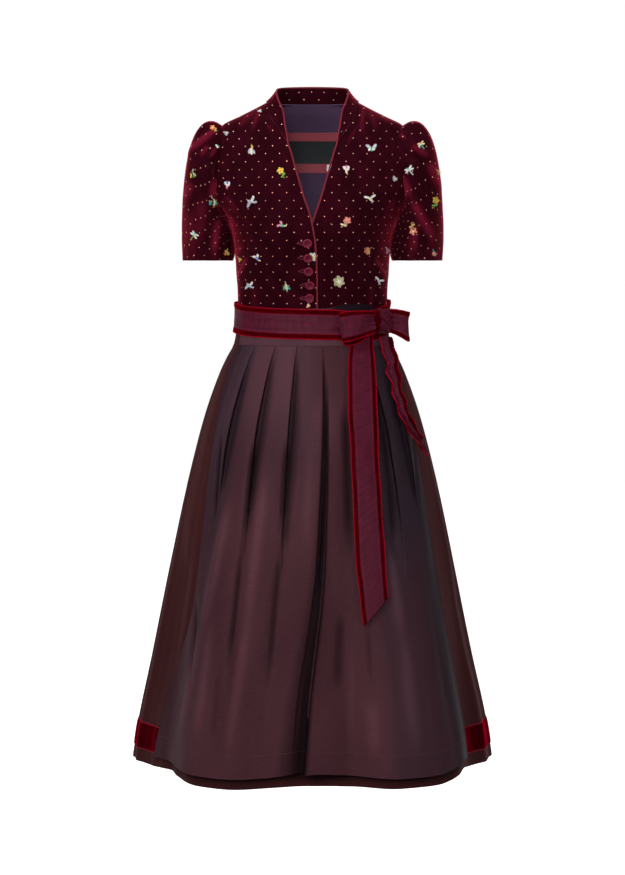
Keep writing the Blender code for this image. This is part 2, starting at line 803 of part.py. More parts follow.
def sleeve(turn, along, side):
    """The sleeve's outer surface: turn from the top over the front, along from armhole to cuff."""
    start = sleeve_start(turn, side)
    start.x = abs(start.x) + 0.5
    round_ = radians(turn)
    cuff = CUFF_CENTRE + Vector((CUFF_HALF[0] * cos(round_), -CUFF_HALF[1] * sin(round_), 0))
    top = max(0.0, cos(round_))
    bottom = max(0.0, -cos(round_))
    level = abs(sin(round_))
    out = Vector((
        swelling(ARMHOLE_SWELL_X, top, bottom, level),
        ARMHOLE_SWELL_Y * sin(round_),
        swelling(ARMHOLE_SWELL_Z, top, bottom, level),
    ))
    back_up = Vector((
        swelling(CUFF_SWELL_X, top, bottom, level),
        CUFF_SWELL_Y * sin(round_),
        swelling(CUFF_SWELL_Z, top ** 1.5, bottom, level),
    ))
    points = (start, start + out, cuff + back_up, cuff)
    weights = ((1 - along) ** 3, 3 * along * (1 - along) ** 2, 3 * along ** 2 * (1 - along), along ** 3)
    place = Vector((0, 0, 0))
    for weight, point in zip(weights, points):
        place += point * weight
    rise = 0.0
    for fold in SLEEVE_TUCKS:
        rise += fold.rise * bump(wrapped(turn - fold.angle) / fold.reach)
    fade = min(1.0, along / TUCK_START) * max(0.0, 1 - along / TUCK_END)
    lean_x = TUCK_LEAN_X[0] * cos(round_) + TUCK_LEAN_X[1]
    outwards = Vector((lean_x, -sin(round_), TUCK_LEAN_Z * cos(round_))).normalized()
    place += outwards * rise * fade
    place.x *= side
    return place


def make_sleeves():
    for name, side in (("sleeve_right", -1), ("sleeve_left", 1)):
        outer, inner = [], []
        for along in SLEEVE_ROWS:
            ring, lining = [], []
            for j in range(SLEEVE_COLUMNS):
                turn = 360 * j / SLEEVE_COLUMNS
                point = sleeve(turn, along, side)
                across = sleeve(turn + SLEEVE_STEP_ANGLE, along, side)
                across -= sleeve(turn - SLEEVE_STEP_ANGLE, along, side)
                low, high = max(along - SLEEVE_STEP, 0), min(along + SLEEVE_STEP, 1)
                length = sleeve(turn, high, side) - sleeve(turn, low, side)
                out = across.cross(length).normalized() * side
                ring.append(point)
                lining.append(point - out * VELVET_WALL)
            outer.append(ring)
            inner.append(lining)
        wall(name, outer, inner, VELVET, ring=True)


def make_buttons():
    for number, row in enumerate(BUTTONS, 1):
        angle = angle_at(row.x, row.z)
        out = normal_of(torso, angle, row.z)
        seat = torso(angle, row.z) + out * BUTTON_CLEAR
        side = out.cross(Vector((0, 0, 1))).normalized()
        upwards = side.cross(out)
        bm = bmesh.new()
        rings = []
        for share in BUTTON_PROFILE:
            height, radius = BUTTON_THICK * share.height, BUTTON_RADIUS * share.radius
            ring = []
            for k in range(BUTTON_SIDES):
                turn = tau * k / BUTTON_SIDES
                point = seat + out * height + (side * cos(turn) + upwards * sin(turn)) * radius
                ring.append(bm.verts.new(point * MM))
            rings.append(ring)
        for before, after in zip(rings, rings[1:]):
            for k in range(BUTTON_SIDES):
                m = (k + 1) % BUTTON_SIDES
                bm.faces.new((before[k], before[m], after[m], after[k]))
        bm.faces.new(rings[0])
        bm.faces.new(rings[-1])
        finish(f"button_{number}", bm, BUTTON)


def make_skirt():
    step = 360 / SKIRT_COLUMNS
    for name, first in (("skirt_front", -90), ("skirt_back", 90)):
        angles = [first + step * j for j in range(SKIRT_COLUMNS // 2 + 1)]
        angles[0] += SIDE_GAP / 2
        angles[-1] -= SIDE_GAP / 2
        nodes = [[(angle, z) for angle in angles] for z in SKIRT_ROWS]
        inner = on_skirt(nodes, lambda angle, z: skirt_lift(angle, z) - SKIRT_WALL)
        wall(name, on_skirt(nodes, skirt_lift), inner, WOOL)
        band = [[(angle, z) for angle in angles] for z in (BAND_TOP_Z, BAND_BOTTOM_Z)]
        low = on_skirt(band, lambda angle, z: skirt_lift(angle, z) + SEAM)
        high = on_skirt(band, lambda angle, z: skirt_lift(angle, z) + SEAM + BAND_WALL)
        wall(name.replace("skirt", "hem_band"), high, low, HEM_VELVET)


def apron_nodes():
    """The apron's grid, with columns that run along the edges of its pleats."""
    nodes = []
    for z in APRON_ROWS:
        down = (z - APRON_TOP_Z) / (APRON_HEM_Z - APRON_TOP_Z)
        keys = [(apron_edge_at["right"](z), FOLD_COLUMNS)]
        for fold in APRON_FOLDS:
            edge = fold.top + (fold.hem - fold.top) * down
            if fold.left_reach < fold.right_reach:
                keys += [(edge - fold.left_reach, 1), (edge, FOLD_COLUMNS)]
            else:
                keys += [(edge, 1), (edge + fold.right_reach, FOLD_COLUMNS)]
        keys.append((apron_edge_at["left"](z), 1))
        keys.sort()
        row = []
        for (start, count), (end, _) in zip(keys, keys[1:]):
            row += spread(start, end, count)[:-1]
        row.append(keys[-1][0])
        nodes.append([(angle, z) for angle in row])
    return nodes


def make_apron():
    nodes = apron_nodes()
    inner = on_skirt(nodes, lambda angle, z: apron_lift(angle, z) - APRON_WALL)
    wall("apron_panel", on_skirt(nodes, apron_lift), inner, TAFFETA)
    angles = spread(-WAISTBAND_REACH, WAISTBAND_REACH, WAISTBAND_COLUMNS)
    nodes = [[(angle, z) for angle in angles] for z in WAISTBAND_ROWS]
    inner = on_skirt(nodes, WAISTBAND_LIFT - WAISTBAND_WALL)
    wall("apron_waistband", on_skirt(nodes, WAISTBAND_LIFT), inner, TAFFETA)


def ribbon_strips(name):
    """The three strips of a ribbon: its upper border, centre and lower border, across its width."""
    edge = RIBBON / 2
    inside = edge - BORDER
    yield f"{name}_border_top", inside + SEAM / 2, edge, 1, VELVET_RIBBON_WALL, BORDER_VELVET
    yield f"{name}_centre", -inside + SEAM / 2, inside - SEAM / 2, 2, RIBBON_WALL, RIBBON_SILK
    yield f"{name}_border_bottom", -edge, -inside - SEAM / 2, 1, VELVET_RIBBON_WALL, BORDER_VELVET


def make_sash():
    angles = [-180 + 360 * j / SASH_COLUMNS for j in range(SASH_COLUMNS)]
    for name, low, high, rows, thick, finish_of in ribbon_strips("sash"):
        nodes = [[(angle, sash_at["z"](angle) + v) for angle in angles] for v in spread(low, high, rows)]
        outer = on_skirt(nodes, SASH_LIFT + thick)
        wall(name, outer, on_skirt(nodes, SASH_LIFT), finish_of, ring=True)


def make_knot():
    """The knot, a full round lump that leans on the ribbon."""
    out = flat_normal(KNOT_ANGLE, KNOT_Z)
    depth = SASH_LIFT + VELVET_RIBBON_WALL + SEAM + KNOT_HALF.y
    centre = skirt_form(KNOT_ANGLE, KNOT_Z) + out * depth
    along = Vector((-out.y, out.x, 0))
    bm = bmesh.new()
    bmesh.ops.create_uvsphere(bm, u_segments=KNOT_SEGMENTS, v_segments=KNOT_RINGS, radius=1)
    for vert in bm.verts:
        x, y, z = vert.co
        place = centre + along * x * KNOT_HALF.x - out * y * KNOT_HALF.y
        place.z += z * KNOT_HALF.z
        vert.co = place * MM
    finish("sash_knot", bm, RIBBON_SILK)


def make_loop(name, rows, tilt):
    """A bow loop: a ribbon that runs out from the knot, turns and comes back."""
    last = len(rows) - 1
    stations = []
    for j, row in enumerate(rows):
        before, after = rows[max(j - 1, 0)], rows[min(j + 1, last)]
        along = Vector((after.x - before.x, after.y - before.y, 0)).normalized()
        out = Vector((along.y, -along.x, 0))
        across = Vector((tilt[0], tilt[1], 1)).normalized()
        stations.append((Vector((row.x, row.y, row.z)), across * row.width, out))
    for strip, low, high, count, thick, finish_of in ribbon_strips(name):
        outer, inner = [], []
        for v in spread(low, high, count):
            outer.append([centre + across * v + out * thick / 2 for centre, across, out in stations])
            inner.append([centre + across * v - out * thick / 2 for centre, across, out in stations])
        wall(strip, outer, inner, finish_of)


def make_tail(name, rows, ends):
    """A hanging end of the sash, cut slantwise, laid over the apron and the skirt."""
    at = columns(rows)
    top = rows[0].z

    def place(across, down):
        z = top + (ends[0] + (ends[1] - ends[0]) * across - top) * down
        x = at["right"](z) + (at["left"](z) - at["right"](z)) * across
        lift = at["lift"](z)
        share = x / (skirt_at["half_width"](z) + lift)
        return degrees(asin(min(share, 0.9999))), z, lift

    edge = RIBBON / 2
    for strip, low, high, count, thick, finish_of in ribbon_strips(name):
        strip = strip.replace("border_top", "border_outer").replace("border_bottom", "border_inner")
        outer, inner = [], []
        for v in spread(low, high, count):
            across = 0.5 + 0.5 * v / edge
            rim, back = [], []
            for down in spread(0, 1, TAIL_ROWS):
                angle, z, lift = place(across, down)
                out = flat_normal(angle, z)
                foot = skirt_form(angle, z) + out * (swing(angle, z) + lift)
                rim.append(foot + out * thick)
                back.append(foot)
            outer.append(rim)
            inner.append(back)
        wall(strip, outer, inner, finish_of)


def main():
    clear_scene()
    make_bodice()
    make_neck_tapes()
    make_collar()
    make_piping()
    make_sleeves()
    make_buttons()
    make_skirt()
    make_apron()
    make_sash()
    make_knot()
    make_loop("loop_front", FRONT_LOOP, FRONT_LOOP_LEAN)
    make_loop("loop_side", SIDE_LOOP, SIDE_LOOP_LEAN)
    make_tail("tail_long", LONG_TAIL, LONG_TAIL_END)
    make_tail("tail_short", SHORT_TAIL, SHORT_TAIL_END)


main()
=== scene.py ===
"""The looks of a dirndl: fine cloth, velvet, embroidery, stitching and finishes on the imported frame.

Lengths are millimetres until a mesh is written. X runs to the wearer's left, the front faces -Y, +Z is
up, and the origin is midway between the tops of the shoulders. Angles are degrees round the body from
the centre front, 90 at the wearer's left side, 180 at the centre back.
"""

from __future__ import annotations

import logging
from dataclasses import dataclass, field
from enum import Enum
from math import cos, pi, radians, sin, tau
from typing import Callable, Iterable, NamedTuple, Sequence

import bmesh
import bpy
import numpy as np
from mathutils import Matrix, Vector

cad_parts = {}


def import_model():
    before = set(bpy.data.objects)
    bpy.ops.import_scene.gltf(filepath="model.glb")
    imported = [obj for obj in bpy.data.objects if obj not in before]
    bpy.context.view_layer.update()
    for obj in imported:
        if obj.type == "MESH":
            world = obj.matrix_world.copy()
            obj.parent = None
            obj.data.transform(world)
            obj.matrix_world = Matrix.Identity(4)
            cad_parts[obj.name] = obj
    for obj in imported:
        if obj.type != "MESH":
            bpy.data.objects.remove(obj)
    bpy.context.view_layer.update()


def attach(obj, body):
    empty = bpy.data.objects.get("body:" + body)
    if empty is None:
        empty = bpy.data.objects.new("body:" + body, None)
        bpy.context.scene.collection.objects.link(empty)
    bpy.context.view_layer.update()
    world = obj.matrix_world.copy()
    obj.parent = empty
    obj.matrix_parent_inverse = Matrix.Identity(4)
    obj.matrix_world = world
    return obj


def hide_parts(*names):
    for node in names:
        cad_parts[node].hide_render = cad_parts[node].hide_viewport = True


LOG = logging.getLogger("dirndl")
MM = 0.001

Points = np.ndarray
Surface = Callable[[np.ndarray, np.ndarray], Points]

BODY = "root"
# Attributes of painted light: painted highlights on ridges and edges, painted shade in folds, under the
# apron's hem and in the buttons' dishes, and the taffeta's painted blue sheen.
PAINTED_LIGHT = "pile"
PAINTED_SHEEN = "shot"


class Held(Enum):
    """How a piece of cloth is held."""

    HUNG = "hung"
    GATHERED = "gathered"
    STRETCHED = "stretched"
    FOLDED = "folded"
    LAID = "laid"


class Side(Enum):
    """A side of the wearer, as the sign of X."""

    RIGHT = -1
    LEFT = 1


@dataclass(frozen=True)
class Curve:
    """A smooth curve through rising points that never overshoots them."""

    xs: np.ndarray
    ys: np.ndarray
    tangents: np.ndarray

    @classmethod
    def through(cls, points: Iterable[Sequence[float]]) -> Curve:
        """Makes the curve.

        Args:
            points: (x, y) pairs in any order.

        Returns:
            The curve, held level past its ends.
        """
        xs, ys = np.array(sorted(tuple(map(float, point)) for point in points)).T
        slopes = np.diff(ys) / np.diff(xs)
        before, after = slopes[:-1], slopes[1:]
        total = np.where(before * after > 0, before + after, 1.0)
        inner = np.where(before * after > 0, 2 * before * after / total, 0.0)
        return cls(xs, ys, np.concatenate(([slopes[0]], inner, [slopes[-1]])))

    def __call__(self, x: np.ndarray | float) -> np.ndarray:
        """The curve's height at each x."""
        x = np.clip(np.asarray(x, float), self.xs[0], self.xs[-1])
        i = np.clip(np.searchsorted(self.xs, x, side="right") - 1, 0, len(self.xs) - 2)
        step = self.xs[i + 1] - self.xs[i]
        t = (x - self.xs[i]) / step
        t2, t3 = t * t, t * t * t
        return (
            (2 * t3 - 3 * t2 + 1) * self.ys[i]
            + (t3 - 2 * t2 + t) * step * self.tangents[i]
            + (3 * t2 - 2 * t3) * self.ys[i + 1]
            + (t3 - t2) * step * self.tangents[i + 1]
        )


def curves(rows: Sequence[NamedTuple]) -> dict[str, Curve]:
    """A curve over the rows' first column for each of their other columns."""
    names = rows[0]._fields
    return {name: Curve.through((row[0], getattr(row, name)) for row in rows) for name in names[1:]}


def wrapped(angle: np.ndarray) -> np.ndarray:
    """The same directions as angles from -180 to 180."""
    return (angle + 180) % 360 - 180


def swell(offset: np.ndarray) -> np.ndarray:
    """1 at the middle, falling softly to 0 at an offset of 1 either way."""
    return np.where(np.abs(offset) < 1, 0.5 + 0.5 * np.cos(pi * np.clip(offset, -1, 1)), 0.0)


def ease(x: np.ndarray, start: float, end: float) -> np.ndarray:
    """A smooth step from 0 at start to 1 at end."""
    t = np.clip((x - start) / (end - start), 0, 1)
    return t * t * (3 - 2 * t)


def crest(height: np.ndarray, full: float) -> np.ndarray:
    """How strong the painted highlight on a ridge is, standing for pressed velvet and the light that it
    catches: 1 where the ridge is full, and nothing in a dip.
    """
    return np.clip(height / full, 0, 1) ** 1.8


def unit(vectors: Points) -> Points:
    """The same directions with length 1."""
    return vectors / np.maximum(np.linalg.norm(vectors, axis=-1, keepdims=True), 1e-9)


def grid(rows: Sequence[float], columns: Sequence[float]) -> tuple[np.ndarray, np.ndarray]:
    """Two arrays, (rows, columns) in size, of each point's column value and row value."""
    across, up = np.meshgrid(np.asarray(columns, float), np.asarray(rows, float))
    return across, up


def grid_normals(points: Points, ring: bool = False) -> Points:
    """The direction out of a grid whose columns run to the left and rows run up.

    Args:
        points: The grid, (rows, columns, 3) in size.
        ring: Whether the last column joins the first.

    Returns:
        A unit vector for each point.
    """
    if ring:
        wide = np.concatenate((points[:, -1:], points, points[:, :1]), axis=1)
        across = (wide[:, 2:] - wide[:, :-2]) / 2
    else:
        across = np.gradient(points, axis=1)
    return unit(np.cross(across, np.gradient(points, axis=0)))


class TorsoRow(NamedTuple):
    """A level section of the bodice."""

    z: float
    half_width: float
    front: float
    back: float


class SkirtRow(NamedTuple):
    """A level section of the skirt, its pleats' depth and its share of the hem's swing."""

    z: float
    half_width: float
    front: float
    back: float
    pleat: float
    shape: float


class Swing(NamedTuple):
    """How far the hem swings out of its oval at an angle."""

    angle: float
    swing: float


class HemCurl(NamedTuple):
    """A place where the hem curls up: its angle, how far, and how wide it is in degrees."""

    angle: float
    rise: float
    reach: float


class Crease(NamedTuple):
    """A soft ridge or trough on the bodice between two points of its front or back view."""

    x0: float
    z0: float
    x1: float
    z1: float
    width: float
    rise: float


@dataclass(frozen=True)
class DressForm:
    """The surfaces that the cloth is laid out on."""

    bust_fullness: float = 18
    bust_x: float = 74
    bust_z: float = -222
    bust_spread_x: float = 50
    bust_spread_z: float = 55
    torso_rows: tuple[TorsoRow, ...] = (
        TorsoRow(21, 82.4, 45, 51), TorsoRow(8, 107, 55, 62), TorsoRow(-5, 133, 65, 72),
        TorsoRow(-22, 166, 76, 83), TorsoRow(-40, 176, 86, 91), TorsoRow(-60, 182, 96, 98),
        TorsoRow(-84, 186, 107, 104), TorsoRow(-112, 188, 117, 108), TorsoRow(-142, 187, 125, 109),
        TorsoRow(-166, 178, 129, 108), TorsoRow(-185, 163, 131, 106), TorsoRow(-201, 151.5, 132, 104),
        TorsoRow(-222, 147, 131, 102), TorsoRow(-250, 143.5, 125, 98), TorsoRow(-290, 141, 110, 92),
        TorsoRow(-330, 138.5, 95, 88), TorsoRow(-372, 138, 90, 88),
    )
    skirt_rows: tuple[SkirtRow, ...] = (
        SkirtRow(-372, 138.6, 90.5, 88.5, 1.0, 0), SkirtRow(-398, 140.5, 93.5, 92, 1.4, 0),
        SkirtRow(-413, 142.5, 97, 97, 1.8, 0), SkirtRow(-426, 145.5, 101, 102, 2.2, 0),
        SkirtRow(-448, 157, 109, 113, 3, 0), SkirtRow(-480, 171, 120, 128, 4, 0),
        SkirtRow(-560, 198, 145, 155, 5.5, 0.06), SkirtRow(-680, 227.5, 172, 183, 7, 0.2),
        SkirtRow(-830, 258, 197, 206, 8.5, 0.42), SkirtRow(-1000, 292, 220, 226, 10, 0.7),
        SkirtRow(-1135, 320, 241, 245, 11, 0.92), SkirtRow(-1200, 330, 250, 252, 11, 1),
    )
    hem_swing: tuple[Swing, ...] = (
        Swing(-180, 10), Swing(-164, -6), Swing(-148, 12), Swing(-130, -8), Swing(-112, 7), Swing(-90, 0),
        Swing(-72, -20), Swing(-57, -21), Swing(-48, -2), Swing(-36, 30), Swing(-25, 35), Swing(-10, 4),
        Swing(0, -6), Swing(12, -5), Swing(26, 33), Swing(38, 36), Swing(49, 20), Swing(60, -10),
        Swing(72, -22), Swing(90, 0), Swing(110, 6), Swing(131, -9), Swing(150, 13), Swing(166, -4),
        Swing(180, 10),
    )
    # Darts, strain folds and puckers. Y is left out: the table says whether they lie in front or behind.
    front_creases: tuple[Crease, ...] = (
        Crease(-98, -372, -98, -300, 2.2, -1.3), Crease(-98, -300, -112, -244, 2.4, -1.1),
        Crease(-106, -372, -107, -300, 7, 1.0), Crease(98, -372, 98, -300, 2.2, -1.3),
        Crease(98, -300, 112, -244, 2.4, -1.1), Crease(106, -372, 107, -300, 7, 1.0),
        Crease(-117, -262, -138, -307, 3.4, 2.8), Crease(-124, -240, -142, -268, 5, 1.6),
        Crease(112, -265, 134, -300, 3.4, 2.8), Crease(118, -243, 138, -266, 5, 1.6),
        Crease(-94, 8, -112, -40, 5, 1.8), Crease(-104, 0, -140, -34, 5, 1.4),
        Crease(-84, -22, -62, -52, 3.5, 1.6), Crease(-78, -30, -55, -62, 3, -1.1),
        Crease(91, 8, 89, -46, 4.5, 1.8), Crease(102, 0, 120, -40, 5, 1.4),
        Crease(80, -30, 60, -66, 3.5, 1.4), Crease(-160, -150, -132, -186, 6, 1.6),
        Crease(150, -158, 128, -190, 6, 1.4), Crease(-150, -178, -120, -204, 5, -1.2),
        Crease(146, -186, 122, -208, 5, -1.0),
    )
    back_creases: tuple[Crease, ...] = (
        Crease(-84, -372, -80, -250, 2.2, -1.2), Crease(84, -372, 80, -250, 2.2, -1.2),
        Crease(-120, -250, -138, -300, 6, 2.0), Crease(120, -252, 138, -304, 6, 2.0),
        Crease(-92, 4, -118, -36, 5, 1.2), Crease(92, 4, 116, -38, 5, 1.2),
        Crease(-60, -330, 40, -344, 7, 1.1), Crease(-20, -306, 80, -322, 7, 1.0),
    )
    hem_curls: tuple[HemCurl, ...] = (HemCurl(-57, 5.5, 13), HemCurl(55, 11, 11), HemCurl(0, 3, 14))
    hem_curl_z: tuple[float, float] = (-1060, -1180)
    torso_at: dict[str, Curve] = field(init=False)
    skirt_at: dict[str, Curve] = field(init=False)
    swing_at: Curve = field(init=False)

    def __post_init__(self) -> None:
        """Turns the tables into curves."""
        object.__setattr__(self, "torso_at", curves(self.torso_rows))
        object.__setattr__(self, "skirt_at", curves(self.skirt_rows))
        object.__setattr__(self, "swing_at", curves(self.hem_swing)["swing"])

    @staticmethod
    def oval(angle: np.ndarray, z: np.ndarray, at: dict[str, Curve]) -> Points:
        """Points of a level oval section.

        Args:
            angle: Directions from the centre front.
            z: Heights.
            at: The section's half width and its depths in front and at the back.

        Returns:
            A point for each angle and height.
        """
        turn = np.radians(angle)
        depth = np.where(np.cos(turn) > 0, at["front"](z), at["back"](z))
        return np.stack((at["half_width"](z) * np.sin(turn), -depth * np.cos(turn), z + 0 * turn), -1)

    def smooth_torso(self, angle: np.ndarray, z: np.ndarray) -> Points:
        """The bodice's outer surface, as the solids have it."""
        place = self.oval(angle, z, self.torso_at)
        facing = np.clip(2 * np.cos(np.radians(angle)), 0, 1)
        across = (np.abs(place[..., 0]) - self.bust_x) / self.bust_spread_x
        upwards = (z - self.bust_z) / self.bust_spread_z
        place[..., 1] -= self.bust_fullness * facing * np.exp(-across * across - upwards * upwards)
        return place

    def torso(self, angle: np.ndarray, z: np.ndarray) -> Points:
        """The bodice's outer surface with its darts and folds."""
        height = self.creasing(angle, z)
        return self.smooth_torso(angle, z) + self.normal(self.smooth_torso, angle, z) * height[..., None]

    def creasing(self, angle: np.ndarray, z: np.ndarray) -> np.ndarray:
        """How far the bodice's darts and folds stand out."""
        place = self.smooth_torso(angle, z)
        height = np.zeros_like(place[..., 0])
        front = np.cos(np.radians(angle)) > 0
        for creases, here in ((self.front_creases, front), (self.back_creases, ~front)):
            for crease in creases:
                height += np.where(here, self.crease_height(crease, place), 0.0)
        return height

    @staticmethod
    def crease_height(crease: Crease, place: Points) -> np.ndarray:
        """How far one crease lifts each point."""
        start = np.array((crease.x0, crease.z0))
        along = np.array((crease.x1, crease.z1)) - start
        length = float(np.hypot(*along))
        offset = place[..., (0, 2)] - start
        reach = offset @ (along / length)
        aside = offset @ (np.array((-along[1], along[0])) / length)
        ends = ease(reach, -0.1 * length, 0.25 * length) * (1 - ease(reach, 0.6 * length, 1.1 * length))
        return crease.rise * ends * np.exp(-((aside / crease.width) ** 2))

    @classmethod
    def crease_sum(cls, creases: Sequence[Crease], place: Points) -> np.ndarray:
        """How far several creases lift each point."""
        return sum(cls.crease_height(crease, place) for crease in creases)

    def skirt(self, angle: np.ndarray, z: np.ndarray) -> Points:
        """The smooth oval that the skirt, the apron and the sash are laid out on."""
        return self.oval(angle, z, self.skirt_at)

    @staticmethod
    def normal(surface: Surface, angle: np.ndarray, z: np.ndarray, step: float = 0.5) -> Points:
        """The direction out of a surface."""
        across = surface(angle + step, z) - surface(angle - step, z)
        upwards = surface(angle, z + step) - surface(angle, z - step)
        return unit(np.cross(across, upwards))

    def level_normal(self, angle: np.ndarray, z: np.ndarray) -> Points:
        """The level direction out of the skirt's form, so that layers stay in order."""
        out = self.normal(self.skirt, angle, z)
        out[..., 2] = 0
        return unit(out)

    def swing(self, angle: np.ndarray, z: np.ndarray) -> np.ndarray:
        """How far the skirt hangs out of its oval."""
        return self.skirt_at["shape"](z) * self.swing_at(wrapped(angle))

    def on_torso(self, angle: np.ndarray, z: np.ndarray, lift: np.ndarray | float) -> Points:
        """Points of the bodice, moved out by lift."""
        out = self.normal(self.smooth_torso, angle, z)
        return self.torso(angle, z) + out * np.asarray(lift)[..., None]

    def hem_rise(self, angle: np.ndarray, z: np.ndarray) -> np.ndarray:
        """How far the hem curls up at the sides and a little in the middle."""
        turn = wrapped(angle)
        high, low = self.hem_curl_z
        rise = sum(curl.rise * np.exp(-(((turn - curl.angle) / curl.reach) ** 2)) for curl in self.hem_curls)
        return rise * ease(-z, -high, -low)

    def on_skirt(self, angle: np.ndarray, z: np.ndarray, lift: np.ndarray | float) -> Points:
        """Points of the skirt's form, moved out level by lift."""
        points = self.skirt(angle, z) + self.level_normal(angle, z) * np.asarray(lift)[..., None]
        points[..., 2] += self.hem_rise(angle, z)
        return points

    def torso_angle(self, x: np.ndarray | float, z: np.ndarray | float) -> np.ndarray:
        """The angle of a point of the bodice's front at a given x."""
        return np.degrees(np.arcsin(np.clip(x / self.torso_at["half_width"](z), -0.9999, 0.9999)))

    @staticmethod
    def arc(surface: Surface, angle: np.ndarray, z: np.ndarray, steps: int = 40) -> np.ndarray:
        """The length round a surface from the centre front to each point."""
        share = np.linspace(0, 1, steps + 1).reshape(-1, *([1] * angle.ndim))
        path = surface(share * angle, np.broadcast_to(z, angle.shape) + 0 * share)
        return np.sign(angle) * np.linalg.norm(np.diff(path, axis=0), axis=-1).sum(axis=0)


FORM = DressForm()


@dataclass
class Sheet:
    """A piece of cloth: a closed thin wall, its finish, its slot and the solids that it stands for. Its flat
    size, area, hold and what it rests on are kept with it but not used here.
    """

    name: str
    outer: Points
    thickness: float
    uv: np.ndarray
    finish: bpy.types.Material
    slot: str
    nodes: tuple[str, ...]
    flat: tuple[float, float]
    held: Held
    rests_on: tuple[str, ...] = ()
    area: float | None = None
    lining: bpy.types.Material | None = None
    ring: bool = False
    normals: Points | None = None
    pile: np.ndarray | None = None
    shot: np.ndarray | None = None

    def make(self) -> bpy.types.Object:
        """Returns:
            The finished piece.
        """
        normals = grid_normals(self.outer, self.ring) if self.normals is None else self.normals
        inner = self.outer - normals * self.thickness
        piece = write_wall(self.name, self.outer, inner, self.uv, self.ring)
        piece.data.materials.append(self.finish)
        if self.lining is not None:
            piece.data.materials.append(self.lining)
            rows, columns = self.outer.shape[:2]
            inside = (rows - 1) * (columns if self.ring else columns - 1)
            slots = np.zeros(len(piece.data.polygons), np.int32)
            slots[inside:2 * inside] = 1
            piece.data.polygons.foreach_set("material_index", slots)
        # Painted light and shade, and the painted blue sheen, written as attributes on every point.
        for word, values in ((PAINTED_LIGHT, self.pile), (PAINTED_SHEEN, self.shot)):
            if values is not None:
                laid = np.tile(np.broadcast_to(values, self.outer.shape[:2]).ravel(), 2).clip(0, 1)
                layer = piece.data.attributes.new(word, "FLOAT", "POINT")
                layer.data.foreach_set("value", laid.astype(np.float32))
        keep(piece, self.slot, self.nodes)
        return piece


def write_mesh(
    name: str,
    points: Points,
    faces: np.ndarray,
    uv: np.ndarray | None = None,
) -> bpy.types.Object:
    """A smooth object from quads.

    Args:
        name: The object's name.
        points: The corners, in millimetres.
        faces: Four corner numbers for each face.
        uv: The cloth's own coordinates in metres, for each corner of each face.

    Returns:
        The object, linked to the scene, with its faces pointing out.
    """
    mesh = bpy.data.meshes.new(name)
    mesh.from_pydata((points.reshape(-1, 3) * MM).tolist(), [], faces.tolist())
    if uv is not None:
        layer = mesh.uv_layers.new(name="cloth")
        layer.data.foreach_set("uv", uv.astype(np.float32).ravel())
    mesh.shade_smooth()
    piece = bpy.data.objects.new(name, mesh)
    bpy.context.collection.objects.link(piece)
    close(piece)
    mesh.set_sharp_from_angle(angle=radians(62))
    return piece


def quads(table: np.ndarray, flip: bool = False) -> np.ndarray:
    """The four numbers at the corners of each cell of a grid of numbers."""
    corners = (table[:-1, :-1], table[:-1, 1:], table[1:, 1:], table[1:, :-1])
    return np.stack(corners[::-1] if flip else corners, -1).reshape(-1, 4)


def close(piece: bpy.types.Object, *, holes: bool = False, merge: float = 0.0) -> None:
    """Closes a mesh and points its faces out.

    Args:
        piece: The object.
        holes: Whether open ends are filled.
        merge: How near two corners are made one, in metres, or 0.
    """
    bm = bmesh.new()
    bm.from_mesh(piece.data)
    if merge:
        bmesh.ops.remove_doubles(bm, verts=bm.verts, dist=merge)
    if holes:
        bmesh.ops.holes_fill(bm, edges=[edge for edge in bm.edges if edge.is_boundary])
    bmesh.ops.recalc_face_normals(bm, faces=bm.faces)
    bm.to_mesh(piece.data)
    bm.free()


def write_wall(name: str, outer: Points, inner: Points, uv: np.ndarray, ring: bool) -> bpy.types.Object:
    """A closed wall between two grids of points.

    Args:
        name: The object's name.
        outer: The outer grid, (rows, columns, 3) in size.
        inner: The inner grid.
        uv: The cloth's coordinates, with one more column where the wall is a ring.
        ring: Whether the last column joins the first.

    Returns:
        The object. Its first faces are the outer ones, then the inner ones, then the rims.
    """
    rows, columns = outer.shape[:2]
    index = np.arange(rows * columns).reshape(rows, columns)
    if ring:
        index = np.concatenate((index, index[:, :1]), axis=1)
    flat_uv = np.arange(uv.shape[0] * uv.shape[1]).reshape(uv.shape[:2])
    far = rows * columns

    def rim(low: np.ndarray, high: np.ndarray) -> np.ndarray:
        return np.stack((low[:-1], low[1:], high[1:], high[:-1]), -1)

    faces = [quads(index), quads(index + far, True)]
    places = [quads(flat_uv), quads(flat_uv, True)]
    edges = [(index[0], flat_uv[0]), (index[-1], flat_uv[-1])]
    if not ring:
        edges += [(index[:, 0], flat_uv[:, 0]), (index[:, -1], flat_uv[:, -1])]
    for edge, place in edges:
        faces.append(rim(edge, edge + far))
        places.append(rim(place, place))
    points = np.concatenate((outer.reshape(-1, 3), inner.reshape(-1, 3)))
    corner_uv = uv.reshape(-1, 2)[np.concatenate(places)]
    return write_mesh(name, points, np.concatenate(faces), corner_uv.reshape(-1, 2))


def keep(piece: bpy.types.Object, slot: str, nodes: Sequence[str]) -> None:
    """Gives a piece to the body, hides the solids that it stands for, and logs its slot."""
    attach(piece, BODY)
    if nodes:
        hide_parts(*nodes)
    faces = len(piece.data.polygons)
    LOG.info("%s: %d faces, %s, for %s", piece.name, faces, slot or "thread", nodes or BODY)


